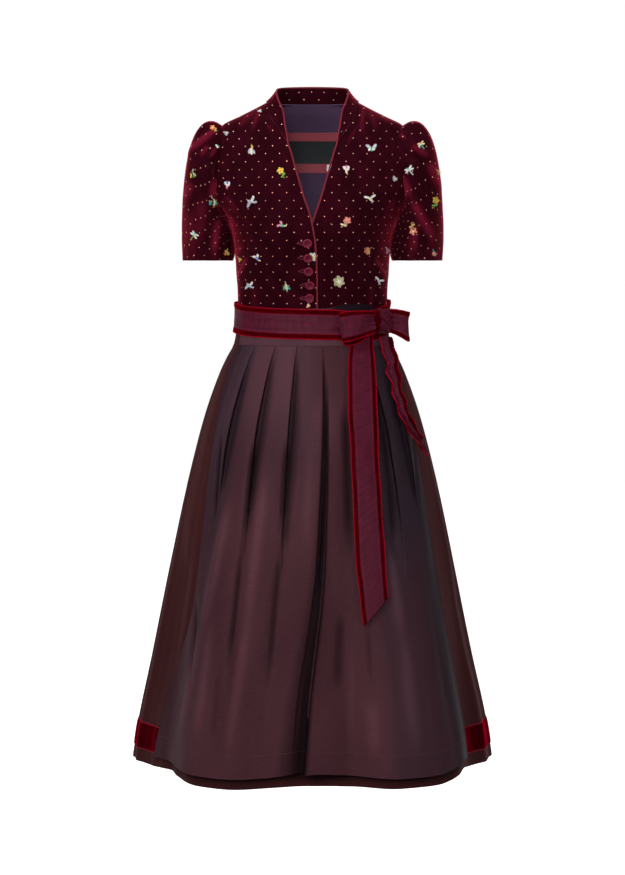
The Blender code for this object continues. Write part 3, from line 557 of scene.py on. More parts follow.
def tube(name: str, path: Points, radius: float, sides: int) -> bpy.types.Object:
    """A round cord along a path.

    Args:
        name: The object's name.
        path: The middle of the cord.
        radius: Its radius.
        sides: How many sides it has.

    Returns:
        The cord, closed at its ends.
    """
    along = unit(np.gradient(path, axis=0))
    level = np.zeros_like(path)
    direction = np.array((0.0, 1.0, 0.0))
    for i, tangent in enumerate(along):
        direction = direction - tangent * direction.dot(tangent)
        direction /= np.linalg.norm(direction)
        level[i] = direction
    third = np.cross(along, level)
    turn = (np.arange(sides) + 0.5) * tau / sides
    rings = (
        path[:, None]
        + radius * level[:, None] * np.cos(turn)[None, :, None]
        + radius * third[:, None] * np.sin(turn)[None, :, None]
    )
    count = len(path)
    index = np.arange(count * sides).reshape(count, sides)
    index = np.concatenate((index, index[:, :1]), axis=1)
    faces = quads(index)
    step = np.linalg.norm(np.diff(path, axis=0, append=path[:1]), axis=1)
    run = np.concatenate(([0], np.cumsum(step)))[:index.shape[0]] * MM
    around = np.linspace(0, 1, sides + 1) * tau * radius * MM
    table = np.stack(np.meshgrid(around, run), -1)
    corner = np.arange(table.shape[0] * table.shape[1]).reshape(table.shape[:2])
    piece = write_mesh(name, rings, faces, table.reshape(-1, 2)[quads(corner).reshape(-1)])
    close(piece, holes=True)
    return piece


Colour = tuple[float, float, float]
Socket = bpy.types.NodeSocket


class Bench:
    """A material's node tree and the calls that lay nodes in it."""

    def __init__(self, name: str, roughness: float, **shader: float | Colour) -> None:
        """Makes a material with its plain values set on the shader.

        Args:
            name: The material's name.
            roughness: The shader's roughness.
            **shader: Other shader values, by socket name with _ for a space.
        """
        self.material = bpy.data.materials.new(name)
        self.material.use_nodes = True
        self.tree = self.material.node_tree
        self.shader = self.tree.nodes["Principled BSDF"]
        self.shader.inputs["Roughness"].default_value = roughness
        for key, value in shader.items():
            self.feed(self.shader.inputs[key.replace("_", " ")], value)

    def node(self, kind: str, **settings: object) -> bpy.types.Node:
        """Adds a node and sets its properties."""
        node = self.tree.nodes.new(f"ShaderNode{kind}")
        for key, value in settings.items():
            setattr(node, key, value)
        return node

    def feed(self, socket: Socket, value: object) -> None:
        """Links a socket, or sets its plain value."""
        if isinstance(value, Socket):
            self.tree.links.new(value, socket)
        elif isinstance(value, tuple) and len(socket.default_value) == 4:
            socket.default_value = (*value, 1)
        else:
            socket.default_value = value

    def math(self, operation: str, a: object, b: object = 0.0, c: object = 0.0) -> Socket:
        """One step of arithmetic."""
        node = self.node("Math", operation=operation)
        for socket, value in zip(node.inputs, (a, b, c)):
            self.feed(socket, value)
        return node.outputs[0]

    def span(self, value: object, low: float, high: float, to: tuple[float, float] = (0, 1)) -> Socket:
        """A value from low to high, read as a smooth step."""
        node = self.node("MapRange", interpolation_type="SMOOTHSTEP")
        for name, item in zip(("Value", "From Min", "From Max", "To Min", "To Max"), (value, low, high, *to)):
            self.feed(node.inputs[name], item)
        return node.outputs[0]

    def place(self, uv: bool, scale: Sequence[float], turn: float = 0.0) -> Socket:
        """The cloth's own coordinates, or the object's, times a scale."""
        if uv:
            source = self.node("UVMap", uv_map="cloth").outputs[0]
        else:
            source = self.node("TexCoord").outputs["Object"]
        node = self.node("Mapping")
        self.feed(node.inputs["Vector"], source)
        node.inputs["Scale"].default_value = tuple(scale) + (1.0,) * (3 - len(scale))
        node.inputs["Rotation"].default_value = (0, 0, radians(turn))
        return node.outputs[0]

    def noise(self, uv: bool, scale: Sequence[float], detail: float = 2.0, turn: float = 0.0) -> Socket:
        """Soft noise with features about 1 / scale in size."""
        node = self.node("TexNoise", noise_dimensions="3D")
        self.feed(node.inputs["Vector"], self.place(uv, scale, turn))
        node.inputs["Scale"].default_value = 1.0
        node.inputs["Detail"].default_value = detail
        return node.outputs[0]

    def split(self, vector: Socket) -> tuple[Socket, Socket]:
        """A vector's first two numbers."""
        node = self.node("SeparateXYZ")
        self.feed(node.inputs[0], vector)
        return node.outputs[0], node.outputs[1]

    def wave(self, value: object, pitch: float) -> Socket:
        """A sine of a length in metres, from 0 to 1, that repeats every pitch millimetres."""
        turn = self.math("SINE", self.math("MULTIPLY", value, tau / (pitch * MM)))
        return self.math("MULTIPLY_ADD", turn, 0.5, 0.5)

    def dots(self, pitch: tuple[float, float], radius: float, turn: float = 0.0) -> Socket:
        """A mask of staggered round dots.

        Args:
            pitch: The repeat across and up, in millimetres. A second row lies halfway.
            radius: A dot's radius, in millimetres.
            turn: How far the rows slope, in degrees.

        Returns:
            1 on a dot and 0 off it.
        """
        across, up = self.split(self.place(True, (1 / MM, 1 / MM), turn))
        masks = []
        for shift in (0.0, 0.5):
            square = []
            for value, step in ((across, pitch[0]), (up, pitch[1])):
                cell = self.math("FRACT", self.math("MULTIPLY_ADD", value, 1 / step, 0.5 + shift))
                offset = self.math("MULTIPLY_ADD", cell, step, -step / 2)
                square.append(self.math("MULTIPLY", offset, offset))
            away = self.math("SQRT", self.math("ADD", *square))
            masks.append(self.span(away, radius * 0.8, radius * 1.2, (1, 0)))
        return self.math("MAXIMUM", *masks)

    def mix(self, share: object, low: object, high: object) -> Socket:
        """A colour between two."""
        node = self.node("Mix", data_type="RGBA")
        for key, value in ((0, share), (6, low), (7, high)):
            self.feed(node.inputs[key], value)
        return node.outputs[2]

    def colour(self, value: object) -> None:
        """Sets the shader's base colour."""
        self.feed(self.shader.inputs["Base Color"], value)

    def bump(self, height: object, depth: float, strength: float = 1.0) -> None:
        """Adds a bump of a depth in millimetres, over any that is there."""
        node = self.node("Bump")
        node.inputs["Distance"].default_value = depth * MM
        node.inputs["Strength"].default_value = strength
        self.feed(node.inputs["Height"], height)
        before = self.shader.inputs["Normal"]
        if before.is_linked:
            self.feed(node.inputs["Normal"], before.links[0].from_socket)
        self.feed(before, node.outputs[0])


@dataclass(frozen=True)
class Velvet:
    """Cut velvet: dark, with a sheen that brightens it where it turns away, and a painted highlight on its
    ridges and edges.
    """

    name: str
    shade: Colour
    light: Colour
    sheen: Colour
    # The colour of the painted highlight on ridges and edges.
    crushed: Colour = (0.075, 0.0035, 0.011)
    sheen_weight: float = 1.0
    sheen_roughness: float = 0.32
    specular: float = 0.012
    ribs: float = 0.0
    dotted: bool = False
    dot_turn: float = 0.0
    dot_colour: Colour = (0.95, 0.55, 0.36)

    def material(self) -> bpy.types.Material:
        """Builds the material."""
        bench = Bench(
            self.name,
            0.85,
            Sheen_Weight=self.sheen_weight,
            Sheen_Roughness=self.sheen_roughness,
            Sheen_Tint=self.sheen,
            Specular_IOR_Level=self.specular,
        )
        clouds = bench.span(bench.noise(False, (38, 38, 26), 3), 0.36, 0.68)
        pile = bench.noise(False, (1700, 1700, 900), 2)
        tone = bench.mix(bench.math("MULTIPLY", clouds, 0.4), self.shade, self.light)
        if not self.ribs:
            tone = bench.mix(bench.span(pile, 0.35, 0.8, (0, 0.35)), tone, self.light)
        # Painted highlight: ridges and edges are lightened by their attribute.
        laid = bench.node("Attribute", attribute_name=PAINTED_LIGHT).outputs["Fac"]
        tone = bench.mix(laid, tone, self.crushed)
        bench.bump(pile, 0.35, 0.5)
        if self.ribs:
            along, _ = bench.split(bench.place(True, (1, 1)))
            rib = bench.wave(along, self.ribs)
            tone = bench.mix(bench.math("MULTIPLY", rib, 0.5), tone, self.light)
            bench.bump(rib, 0.4, 0.6)
        if self.dotted:
            mask = bench.dots((26.2, 28.4), 0.76, self.dot_turn)
            tone = bench.mix(mask, tone, self.dot_colour)
            bench.bump(mask, 0.5, 0.8)
        bench.colour(tone)
        return bench.material


@dataclass(frozen=True)
class Weave:
    """A woven cloth with a fine rib, slubs and a sheen of its own."""

    name: str
    shade: Colour
    light: Colour
    roughness: float
    sheen: Colour
    sheen_weight: float
    sheen_roughness: float
    specular: float = 0.4
    warp: float = 0.5
    weft: float = 0.5
    depth: float = 0.08
    turn: float = 0.0
    dot: Colour | None = None
    dot_pitch: tuple[float, float] = (9.0, 9.0)
    dot_radius: float = 0.7
    # Colours mixed in by the cloth's attributes: folded for painted shade, turned for painted blue sheen.
    folded: Colour | None = None
    turned: Colour | None = None

    def material(self) -> bpy.types.Material:
        """Builds the material."""
        bench = Bench(
            self.name,
            self.roughness,
            Sheen_Weight=self.sheen_weight,
            Sheen_Roughness=self.sheen_roughness,
            Sheen_Tint=self.sheen,
            Specular_IOR_Level=self.specular,
        )
        across, up = bench.split(bench.place(True, (1, 1), self.turn))
        threads = bench.math("MULTIPLY", bench.wave(across, self.warp), bench.wave(up, self.weft))
        slubs = bench.noise(True, (60, 900), 2, self.turn)
        clouds = bench.noise(True, (9, 3.5), 3)
        share = bench.math(
            "ADD", bench.span(slubs, 0.3, 0.75, (0, 0.5)), bench.span(clouds, 0.3, 0.7, (0, 0.5)),
        )
        tone = bench.mix(share, self.shade, self.light)
        tone = bench.mix(bench.math("MULTIPLY", threads, 0.35), tone, self.light)
        if self.dot is not None:
            tone = bench.mix(bench.dots(self.dot_pitch, self.dot_radius), tone, self.dot)
        # Painted blue sheen, then painted shade, each mixed in by its attribute.
        for word, colour in ((PAINTED_SHEEN, self.turned), (PAINTED_LIGHT, self.folded)):
            if colour is not None:
                tone = bench.mix(bench.node("Attribute", attribute_name=word).outputs["Fac"], tone, colour)
        bench.bump(threads, self.depth, 0.6)
        bench.bump(slubs, self.depth, 0.4)
        bench.colour(tone)
        return bench.material


@dataclass(frozen=True)
class Ribbon:
    """Corded ribbon with a woven lozenge at even steps, and a bright line beside each border."""

    name: str = "corded_ribbon"
    shade: Colour = (0.036, 0.0026, 0.0088)
    light: Colour = (0.052, 0.0042, 0.0135)
    figure: Colour = (0.09, 0.004, 0.016)
    rib: float = 1.1
    step: float = 53.0
    size: float = 6.0
    width: float = 35.4

    def material(self) -> bpy.types.Material:
        """Builds the material."""
        bench = Bench(
            self.name,
            0.5,
            Sheen_Weight=0.05,
            Sheen_Roughness=0.4,
            Sheen_Tint=(0.8, 0.2, 0.4),
            Specular_IOR_Level=0.05,
        )
        along, across = bench.split(bench.place(True, (1, 1)))
        ribs = bench.wave(along, self.rib)
        tone = bench.mix(bench.span(bench.noise(True, (160, 30), 3), 0.3, 0.7), self.shade, self.light)
        cell = bench.math("FRACT", bench.math("MULTIPLY_ADD", along, 1 / (self.step * MM), 0.5))
        offset = bench.math("ABSOLUTE", bench.math("MULTIPLY_ADD", cell, self.step, -self.step / 2))
        height = bench.math("ABSOLUTE", bench.math("MULTIPLY", across, 1 / MM))
        away = bench.math("ADD", offset, height)
        ring = bench.math("ABSOLUTE", bench.math("SUBTRACT", away, self.size * 0.72))
        lozenge = bench.math(
            "MAXIMUM", bench.span(ring, 0.5, 1.2, (1, 0)), bench.span(away, 1.0, 1.8, (1, 0)),
        )
        tone = bench.mix(bench.math("MULTIPLY", lozenge, 0.7), tone, self.figure)
        border = bench.math("ABSOLUTE", bench.math("SUBTRACT", height, self.width / 2 - 2.2))
        line = bench.span(border, 0.5, 1.3, (0.55, 0))
        tone = bench.mix(line, tone, self.figure)
        bench.bump(ribs, 0.12, 0.7)
        bench.bump(bench.math("ADD", lozenge, line), 0.15, 0.5)
        bench.colour(tone)
        return bench.material


@dataclass(frozen=True)
class Cord:
    """A cord covered in cloth cut on the slant."""

    name: str
    shade: Colour
    light: Colour
    pitch: float = 1.3

    def material(self) -> bpy.types.Material:
        """Builds the material."""
        bench = Bench(self.name, 0.7, Sheen_Weight=0.05, Sheen_Tint=(1.0, 0.3, 0.35), Specular_IOR_Level=0.06)
        across, up = bench.split(bench.place(True, (1, 1)))
        twist = bench.wave(bench.math("ADD", across, up), self.pitch)
        bench.colour(bench.mix(twist, self.shade, self.light))
        bench.bump(twist, 0.2, 0.6)
        return bench.material


@dataclass(frozen=True)
class Gloss:
    """Turned and polished plastic with a slight cloud in it."""

    name: str = "button_gloss"
    shade: Colour = (0.1, 0.006, 0.02)
    light: Colour = (0.16, 0.011, 0.034)
    # The colour of the painted shade in the dish.
    dish: Colour = (0.034, 0.0014, 0.006)

    def material(self) -> bpy.types.Material:
        """Builds the material."""
        bench = Bench(self.name, 0.45, Specular_IOR_Level=0.1)
        cloud = bench.noise(False, (420, 420, 420), 3)
        tone = bench.mix(bench.span(cloud, 0.3, 0.7), self.shade, self.light)
        # Painted shade: the dish is darkened by the attribute that the buttons carry.
        bench.colour(bench.mix(bench.node("Attribute", attribute_name=PAINTED_LIGHT).outputs["Fac"], tone, self.dish))
        bench.bump(bench.noise(False, (1500, 1500, 1500), 1), 0.05, 0.4)
        return bench.material


@dataclass(frozen=True)
class Thread:
    """Embroidery thread in the colour that each stitch carries."""

    name: str = "embroidery_thread"
    attribute: str = "tone"

    def material(self) -> bpy.types.Material:
        """Builds the material."""
        bench = Bench(self.name, 0.5, Specular_IOR_Level=0.14)
        source = bench.node("Attribute", attribute_name=self.attribute).outputs["Color"]
        fleck = bench.noise(False, (2600, 2600, 2600), 1)
        dark = bench.mix(0.35, source, (0.0, 0.0, 0.0))
        bench.colour(bench.mix(bench.span(fleck, 0.3, 0.7), dark, source))
        bench.bump(fleck, 0.06, 0.5)
        return bench.material


class Finishes:
    """Every material of the dress, made once."""

    def __init__(self) -> None:
        """Makes the materials."""
        wine, burgundy = (0.0092, 0.0004, 0.0017), (0.023, 0.0013, 0.0046)
        glow = (0.42, 0.022, 0.052)
        self.velvet = Velvet("wine_velvet", wine, burgundy, glow, dotted=True).material()
        self.sleeve_velvet = Velvet(
            "sleeve_velvet", wine, burgundy, glow, dotted=True, dot_turn=-9,
        ).material()
        # The borders and the hem band are lightened along their edges to a painted highlight colour.
        self.border = Velvet(
            "border_velvet", (0.012, 0.0001, 0.0005), (0.058, 0.0002, 0.0018), (0.5, 0.002, 0.01),
            crushed=(0.24, 0.002, 0.012), specular=0.0, ribs=4.3,
        ).material()
        self.hem = Velvet(
            "hem_velvet", (0.017, 0.0001, 0.0009), (0.03, 0.0002, 0.0018), (0.42, 0.003, 0.02),
            crushed=(0.16, 0.012, 0.024), specular=0.0,
        ).material()
        self.lining = Weave(
            "plum_lining", (0.042, 0.022, 0.048), (0.06, 0.031, 0.067), 0.7, (0.6, 0.5, 0.8), 0.04, 0.4,
            specular=0.12,
        ).material()
        self.tape = Weave(
            "dotted_tape", (0.2, 0.03, 0.045), (0.24, 0.038, 0.055), 0.7, (0.9, 0.5, 0.5), 0.2, 0.4,
            dot=(0.3, 0.02, 0.035), dot_pitch=(5.6, 5.6), dot_radius=0.7,
        ).material()
        self.label = Weave(
            "label_satin", (0.013, 0.014, 0.016), (0.021, 0.022, 0.025), 0.45, (1, 1, 1), 0.03, 0.4,
            specular=0.15,
        ).material()
        self.tab = Weave(
            "white_tab", (0.6, 0.6, 0.6), (0.75, 0.75, 0.75), 0.6, (1, 1, 1), 0.1, 0.4,
        ).material()
        # Its folded colour is the painted shadow under the apron's hem.
        self.twill = Weave(
            "brown_twill", (0.017, 0.0037, 0.0043), (0.028, 0.006, 0.0068), 0.8, (0.8, 0.25, 0.28), 0.05, 0.5,
            warp=1.6, weft=1.6, turn=45, specular=0.04, dot=(0.075, 0.008, 0.008), dot_pitch=(11, 11),
            dot_radius=0.8, folded=(0.003, 0.0009, 0.0009),
        ).material()
        self.skirt_lining = Weave(
            "brown_lining", (0.016, 0.006, 0.0055), (0.022, 0.008, 0.0075), 0.6, (0.8, 0.5, 0.5), 0.1, 0.4
        ).material()
        # Its folded colour is the painted shade of the pleats and dips, and its turned colour the painted
        # blue sheen.
        self.taffeta = Weave(
            "shot_taffeta", (0.044, 0.0148, 0.0196), (0.074, 0.0265, 0.0338), 0.55, (0.34, 0.28, 0.42), 0.015,
            0.35, specular=0.02, warp=0.6, weft=0.6, depth=0.04,
            folded=(0.0022, 0.0009, 0.0015), turned=(0.0275, 0.0185, 0.027),
        ).material()
        self.ribbon = Ribbon().material()
        self.piping = Cord("piping_cloth", (0.085, 0.0065, 0.011), (0.15, 0.013, 0.02)).material()
        self.button = Gloss().material()
        self.thread = Thread().material()


class NodeBoard:
    """A Geometry Nodes tree and the calls that lay nodes in it."""

    def __init__(self, name: str, sizes: dict[str, float], seed: int) -> None:
        """Makes a tree that takes geometry, named sizes and a seed.

        Args:
            name: The tree's name.
            sizes: Each size's name and its plain value.
            seed: The seed of whatever is uneven.
        """
        self.tree = bpy.data.node_groups.new(name, "GeometryNodeTree")
        face = self.tree.interface
        face.new_socket("Geometry", in_out="INPUT", socket_type="NodeSocketGeometry")
        for word, value in sizes.items():
            face.new_socket(word, in_out="INPUT", socket_type="NodeSocketFloat").default_value = value
        face.new_socket("Seed", in_out="INPUT", socket_type="NodeSocketInt").default_value = seed
        face.new_socket("Geometry", in_out="OUTPUT", socket_type="NodeSocketGeometry")
        self.given = self.node("NodeGroupInput").outputs

    def node(
        self, kind: str, feeds: dict[str | int, object] | None = None, **settings: object
    ) -> bpy.types.Node:
        """Adds a node, sets its properties and feeds its sockets."""
        node = self.tree.nodes.new(kind)
        for key, value in settings.items():
            setattr(node, key, value)
        for key, value in (feeds or {}).items():
            if isinstance(value, Socket):
                self.tree.links.new(value, node.inputs[key])
            else:
                node.inputs[key].default_value = value
        return node

    def vector(self, name: str) -> Socket:
        """A vector that each point carries."""
        node = self.node("GeometryNodeInputNamedAttribute", {"Name": name}, data_type="FLOAT_VECTOR")
        return next(output for output in node.outputs if output.enabled and output.name == "Attribute")

    def math(self, operation: str, a: object, b: object = 0.0) -> Socket:
        """One step of arithmetic."""
        return self.node("ShaderNodeMath", {0: a, 1: b}, operation=operation).outputs[0]

    def across(self, operation: str, a: object, b: object = (0.0, 0.0, 0.0)) -> bpy.types.Node:
        """One step of arithmetic on vectors."""
        return self.node("ShaderNodeVectorMath", {0: a, 1: b}, operation=operation)

    def sew(self, geometry: Socket, reach: object, length: object, material: bpy.types.Material) -> None:
        """Lays one stitch at each point and ends the tree.

        Args:
            geometry: The points.
            reach: The way that each stitch runs.
            length: Its length.
            material: The thread.
        """
        stand = self.node("FunctionNodeAlignRotationToVector", {"Vector": self.vector("out")}, axis="Z")
        turned = self.node(
            "FunctionNodeAlignRotationToVector", {"Rotation": stand.outputs[0], "Vector": reach},
            axis="X", pivot_axis="Z",
        )
        uneven = self.node("FunctionNodeRandomValue", {"Seed": self.given["Seed"]}, data_type="FLOAT")
        low = self.math("SUBTRACT", 1.0, self.given["Unevenness"])
        floats = [socket for socket in uneven.inputs if socket.enabled and socket.type == "VALUE"]
        self.tree.links.new(low, floats[0])
        share = next(output for output in uneven.outputs if output.enabled)
        size = self.node("ShaderNodeCombineXYZ", {
            0: self.math("MULTIPLY", length, share),
            1: self.given["Width"],
            2: self.math("MULTIPLY", self.given["Height"], share),
        })
        shape = self.node("GeometryNodeMeshUVSphere", {"Segments": 6, "Rings": 4, "Radius": 0.5})
        laid = self.node("GeometryNodeInstanceOnPoints", {
            "Points": geometry,
            "Instance": shape.outputs["Mesh"],
            "Rotation": turned.outputs[0],
            "Scale": size.outputs[0],
        })
        whole = self.node("GeometryNodeRealizeInstances", {0: laid.outputs[0]})
        smooth = self.node("GeometryNodeSetShadeSmooth", {0: whole.outputs[0]})
        done = self.node("GeometryNodeSetMaterial", {"Geometry": smooth.outputs[0], "Material": material})
        self.node("NodeGroupOutput", {0: done.outputs[0]})


class Needle:
    """Two Geometry Nodes trees that sew: a stitch at each point, and even stitches along a path."""

    def __init__(self, thread: bpy.types.Material) -> None:
        """Makes both trees.

        Args:
            thread: The material that every stitch has.
        """
        satin = NodeBoard("satin_stitches", {"Width": 0.0007, "Height": 0.0006, "Unevenness": 0.15}, 3)
        reach = satin.vector("reach")
        length = satin.across("LENGTH", reach).outputs["Value"]
        satin.sew(satin.given["Geometry"], reach, length, thread)
        sizes = {
            "Pitch": 0.003, "Length": 0.0024, "Width": 0.0006, "Height": 0.0005,
            "Unevenness": 0.1, "Across": 0.0,
        }
        row = NodeBoard("stitch_row", sizes, 5)
        line = row.node("GeometryNodeMeshToCurve", {0: row.given["Geometry"]})
        even = row.node(
            "GeometryNodeResampleCurve", {"Curve": line.outputs[0], "Length": row.given["Pitch"]},
            mode="LENGTH",
        )
        along = row.node("GeometryNodeInputTangent").outputs[0]
        aside = row.across("CROSS_PRODUCT", row.vector("out"), along).outputs[0]
        bend = row.node("ShaderNodeMix", {0: row.given["Across"], 4: along, 5: aside}, data_type="VECTOR")
        row.sew(even.outputs[0], bend.outputs[1], row.given["Length"], thread)
        self.satin, self.row = satin.tree, row.tree

    @staticmethod
    def sew(
        name: str,
        tree: bpy.types.NodeTree,
        points: Points,
        vectors: dict[str, Points],
        tones: Points,
        edges: Sequence[tuple[int, int]] = (),
        **sizes: float,
    ) -> None:
        """Sews one piece.

        Args:
            name: The piece's name.
            tree: The tree that sews it.
            points: Where the stitches or the paths' corners are, in millimetres.
            vectors: The vectors that the points carry.
            tones: Each point's colour.
            edges: The paths, as pairs of corners.
            **sizes: The tree's sizes in millimetres, by name. Shares stay as they are.
        """
        mesh = bpy.data.meshes.new(name)
        mesh.from_pydata((points * MM).tolist(), list(edges), [])
        for key, values in vectors.items():
            layer = mesh.attributes.new(key, "FLOAT_VECTOR", "POINT")
            layer.data.foreach_set("vector", values.astype(np.float32).ravel())
        layer = mesh.attributes.new("tone", "FLOAT_COLOR", "POINT")
        full = np.concatenate((np.broadcast_to(tones, points.shape), np.ones((len(points), 1))), axis=1)
        layer.data.foreach_set("color", full.astype(np.float32).ravel())
        source = bpy.data.objects.new(f"{name}_pattern", mesh)
        bpy.context.collection.objects.link(source)
        modifier = source.modifiers.new("sewing", "NODES")
        modifier.node_group = tree
        for item in tree.interface.items_tree:
            if item.in_out == "INPUT" and item.name in sizes:
                share = item.name in ("Across", "Unevenness")
                modifier[item.identifier] = sizes[item.name] * (1.0 if share else MM)
        evaluated = source.evaluated_get(bpy.context.evaluated_depsgraph_get())
        sewn = bpy.data.meshes.new_from_object(evaluated)
        piece = bpy.data.objects.new(name, sewn)
        bpy.context.collection.objects.link(piece)
        bpy.data.objects.remove(source)
        for key in ("reach", "out"):
            if key in sewn.attributes:
                sewn.attributes.remove(sewn.attributes[key])
        sewn.name = name
        keep(piece, "", ())


class Path(NamedTuple):
    """A line on the cloth and the direction out of the cloth along it."""

    points: Points
    out: Points

    def closed(self) -> Path:
        """The same line, joined up."""
        return Path(np.concatenate((self.points, self.points[:1])), np.concatenate((self.out, self.out[:1])))


def sew_paths(needle: Needle, name: str, paths: Sequence[Path], tone: Colour, **sizes: float) -> None:
    """Sews even stitches along several lines as one piece.

    Args:
        needle: What sews them.
        name: The piece's name.
        paths: The lines.
        tone: The thread's colour.
        **sizes: The stitches' sizes.
    """
    edges, first = [], 0
    for path in paths:
        last = first + len(path.points)
        edges += [(i, i + 1) for i in range(first, last - 1)]
        first = last
    points = np.concatenate([path.points for path in paths])
    out = np.concatenate([path.out for path in paths])
    tones = np.broadcast_to(np.array(tone), points.shape)
    needle.sew(name, needle.row, points, {"out": out}, tones, edges, **sizes)


class Photographer:
    """The floor, the light and the camera."""

    distance: float = 4.2
    camera_z: float = -0.284
    aim_z: float = -0.598
    frame_height: float = 1.628
    floor_z: float = -1.55
    front_light: float = 0.11

    def floor(self) -> None:
        """A pale floor that glows with light of its own, most behind the dress."""
        bench = Bench("glowing_pale_floor", 0.9, Specular_IOR_Level=0.0, Emission_Color=(1.0, 1.0, 1.0))
        bench.colour((0.7, 0.7, 0.7))
        _, away = bench.split(bench.place(False, (1, 1, 1)))
        # The floor glows with light of its own, from none in front to full behind the dress.
        bench.feed(bench.shader.inputs["Emission Strength"], bench.span(away, -0.3, 0.4, (0.0, 1.0)))
        reach = np.linspace(-9, 9, 5) / MM
        x, y = np.meshgrid(reach, reach)
        points = np.stack((x, y, np.full_like(x, self.floor_z / MM)), -1)
        index = np.arange(25).reshape(5, 5)
        faces = quads(index)
        floor = write_mesh("pale_floor", points, faces)
        floor.data.materials.append(bench.material)

    def sky(self) -> None:
        """A white backdrop far behind the dress and dim walls round the camera."""
        world = bpy.data.worlds.new("studio")
        world.use_nodes = True
        tree = world.node_tree
        nodes, links = tree.nodes, tree.links
        split = nodes.new("ShaderNodeSeparateXYZ")
        links.new(nodes.new("ShaderNodeTexCoord").outputs["Generated"], split.inputs[0])
        step = nodes.new("ShaderNodeMapRange")
        step.interpolation_type = "SMOOTHSTEP"
        ends = {"From Min": 0.4, "From Max": 0.92, "To Min": self.front_light, "To Max": 1.0}
        for name, value in ends.items():
            step.inputs[name].default_value = value
        links.new(split.outputs[1], step.inputs["Value"])
        sky = nodes["Background"]
        sky.inputs["Color"].default_value = (1, 1, 1, 1)
        links.new(step.outputs[0], sky.inputs["Strength"])
        bpy.context.scene.world = world

    def lamp(self, name: str, place: Vector, aim: Vector, size: tuple[float, float], power: float,
             spread: float = 180) -> None:
        """One soft lamp that faces a point."""
        light = bpy.data.lights.new(name, "AREA")
        light.spread = radians(spread)
        light.shape = "RECTANGLE"
        light.size, light.size_y = size
        light.energy = power
        lamp = bpy.data.objects.new(name, light)
        bpy.context.collection.objects.link(lamp)
        lamp.location = place
        lamp.rotation_euler = (aim - place).to_track_quat("-Z", "Y").to_euler()

    def camera(self) -> None:
        """The camera, level with the chest and tilted down a little."""
        data = bpy.data.cameras.new("camera")
        camera = bpy.data.objects.new("camera", data)
        bpy.context.collection.objects.link(camera)
        camera.location = (0, -self.distance, self.camera_z)
        aim = Vector((0, 0, self.aim_z))
        camera.rotation_euler = (aim - camera.location).to_track_quat("-Z", "Y").to_euler()
        reach = (aim - camera.location).length
        data.lens = data.sensor_width / 2 / (self.frame_height / 2 / reach)
        bpy.context.scene.camera = camera

    def set_up(self) -> None:
        """Lays the floor and sets the lamps, the sky and the camera."""
        bpy.context.scene.view_settings.view_transform = "Standard"
        self.floor()
        self.sky()
        waist = Vector((0, 0, -0.5))
        self.lamp("key", Vector((-1.9, -2.5, 0.7)), waist, (0.9, 1.6), 70)
        self.lamp("fill", Vector((2.1, -2.7, 0.3)), waist, (0.9, 1.6), 30)
        self.lamp("front", Vector((-0.2, -3.1, 0.55)), Vector((0, 0, -0.06)), (1.0, 0.8), 11, 70)
        self.lamp("top", Vector((0, -0.3, 1.8)), waist, (1.8, 0.9), 40)
        self.camera()


class EdgeRow(NamedTuple):
    """Where a panel ends at a height."""

    z: float
    x: float


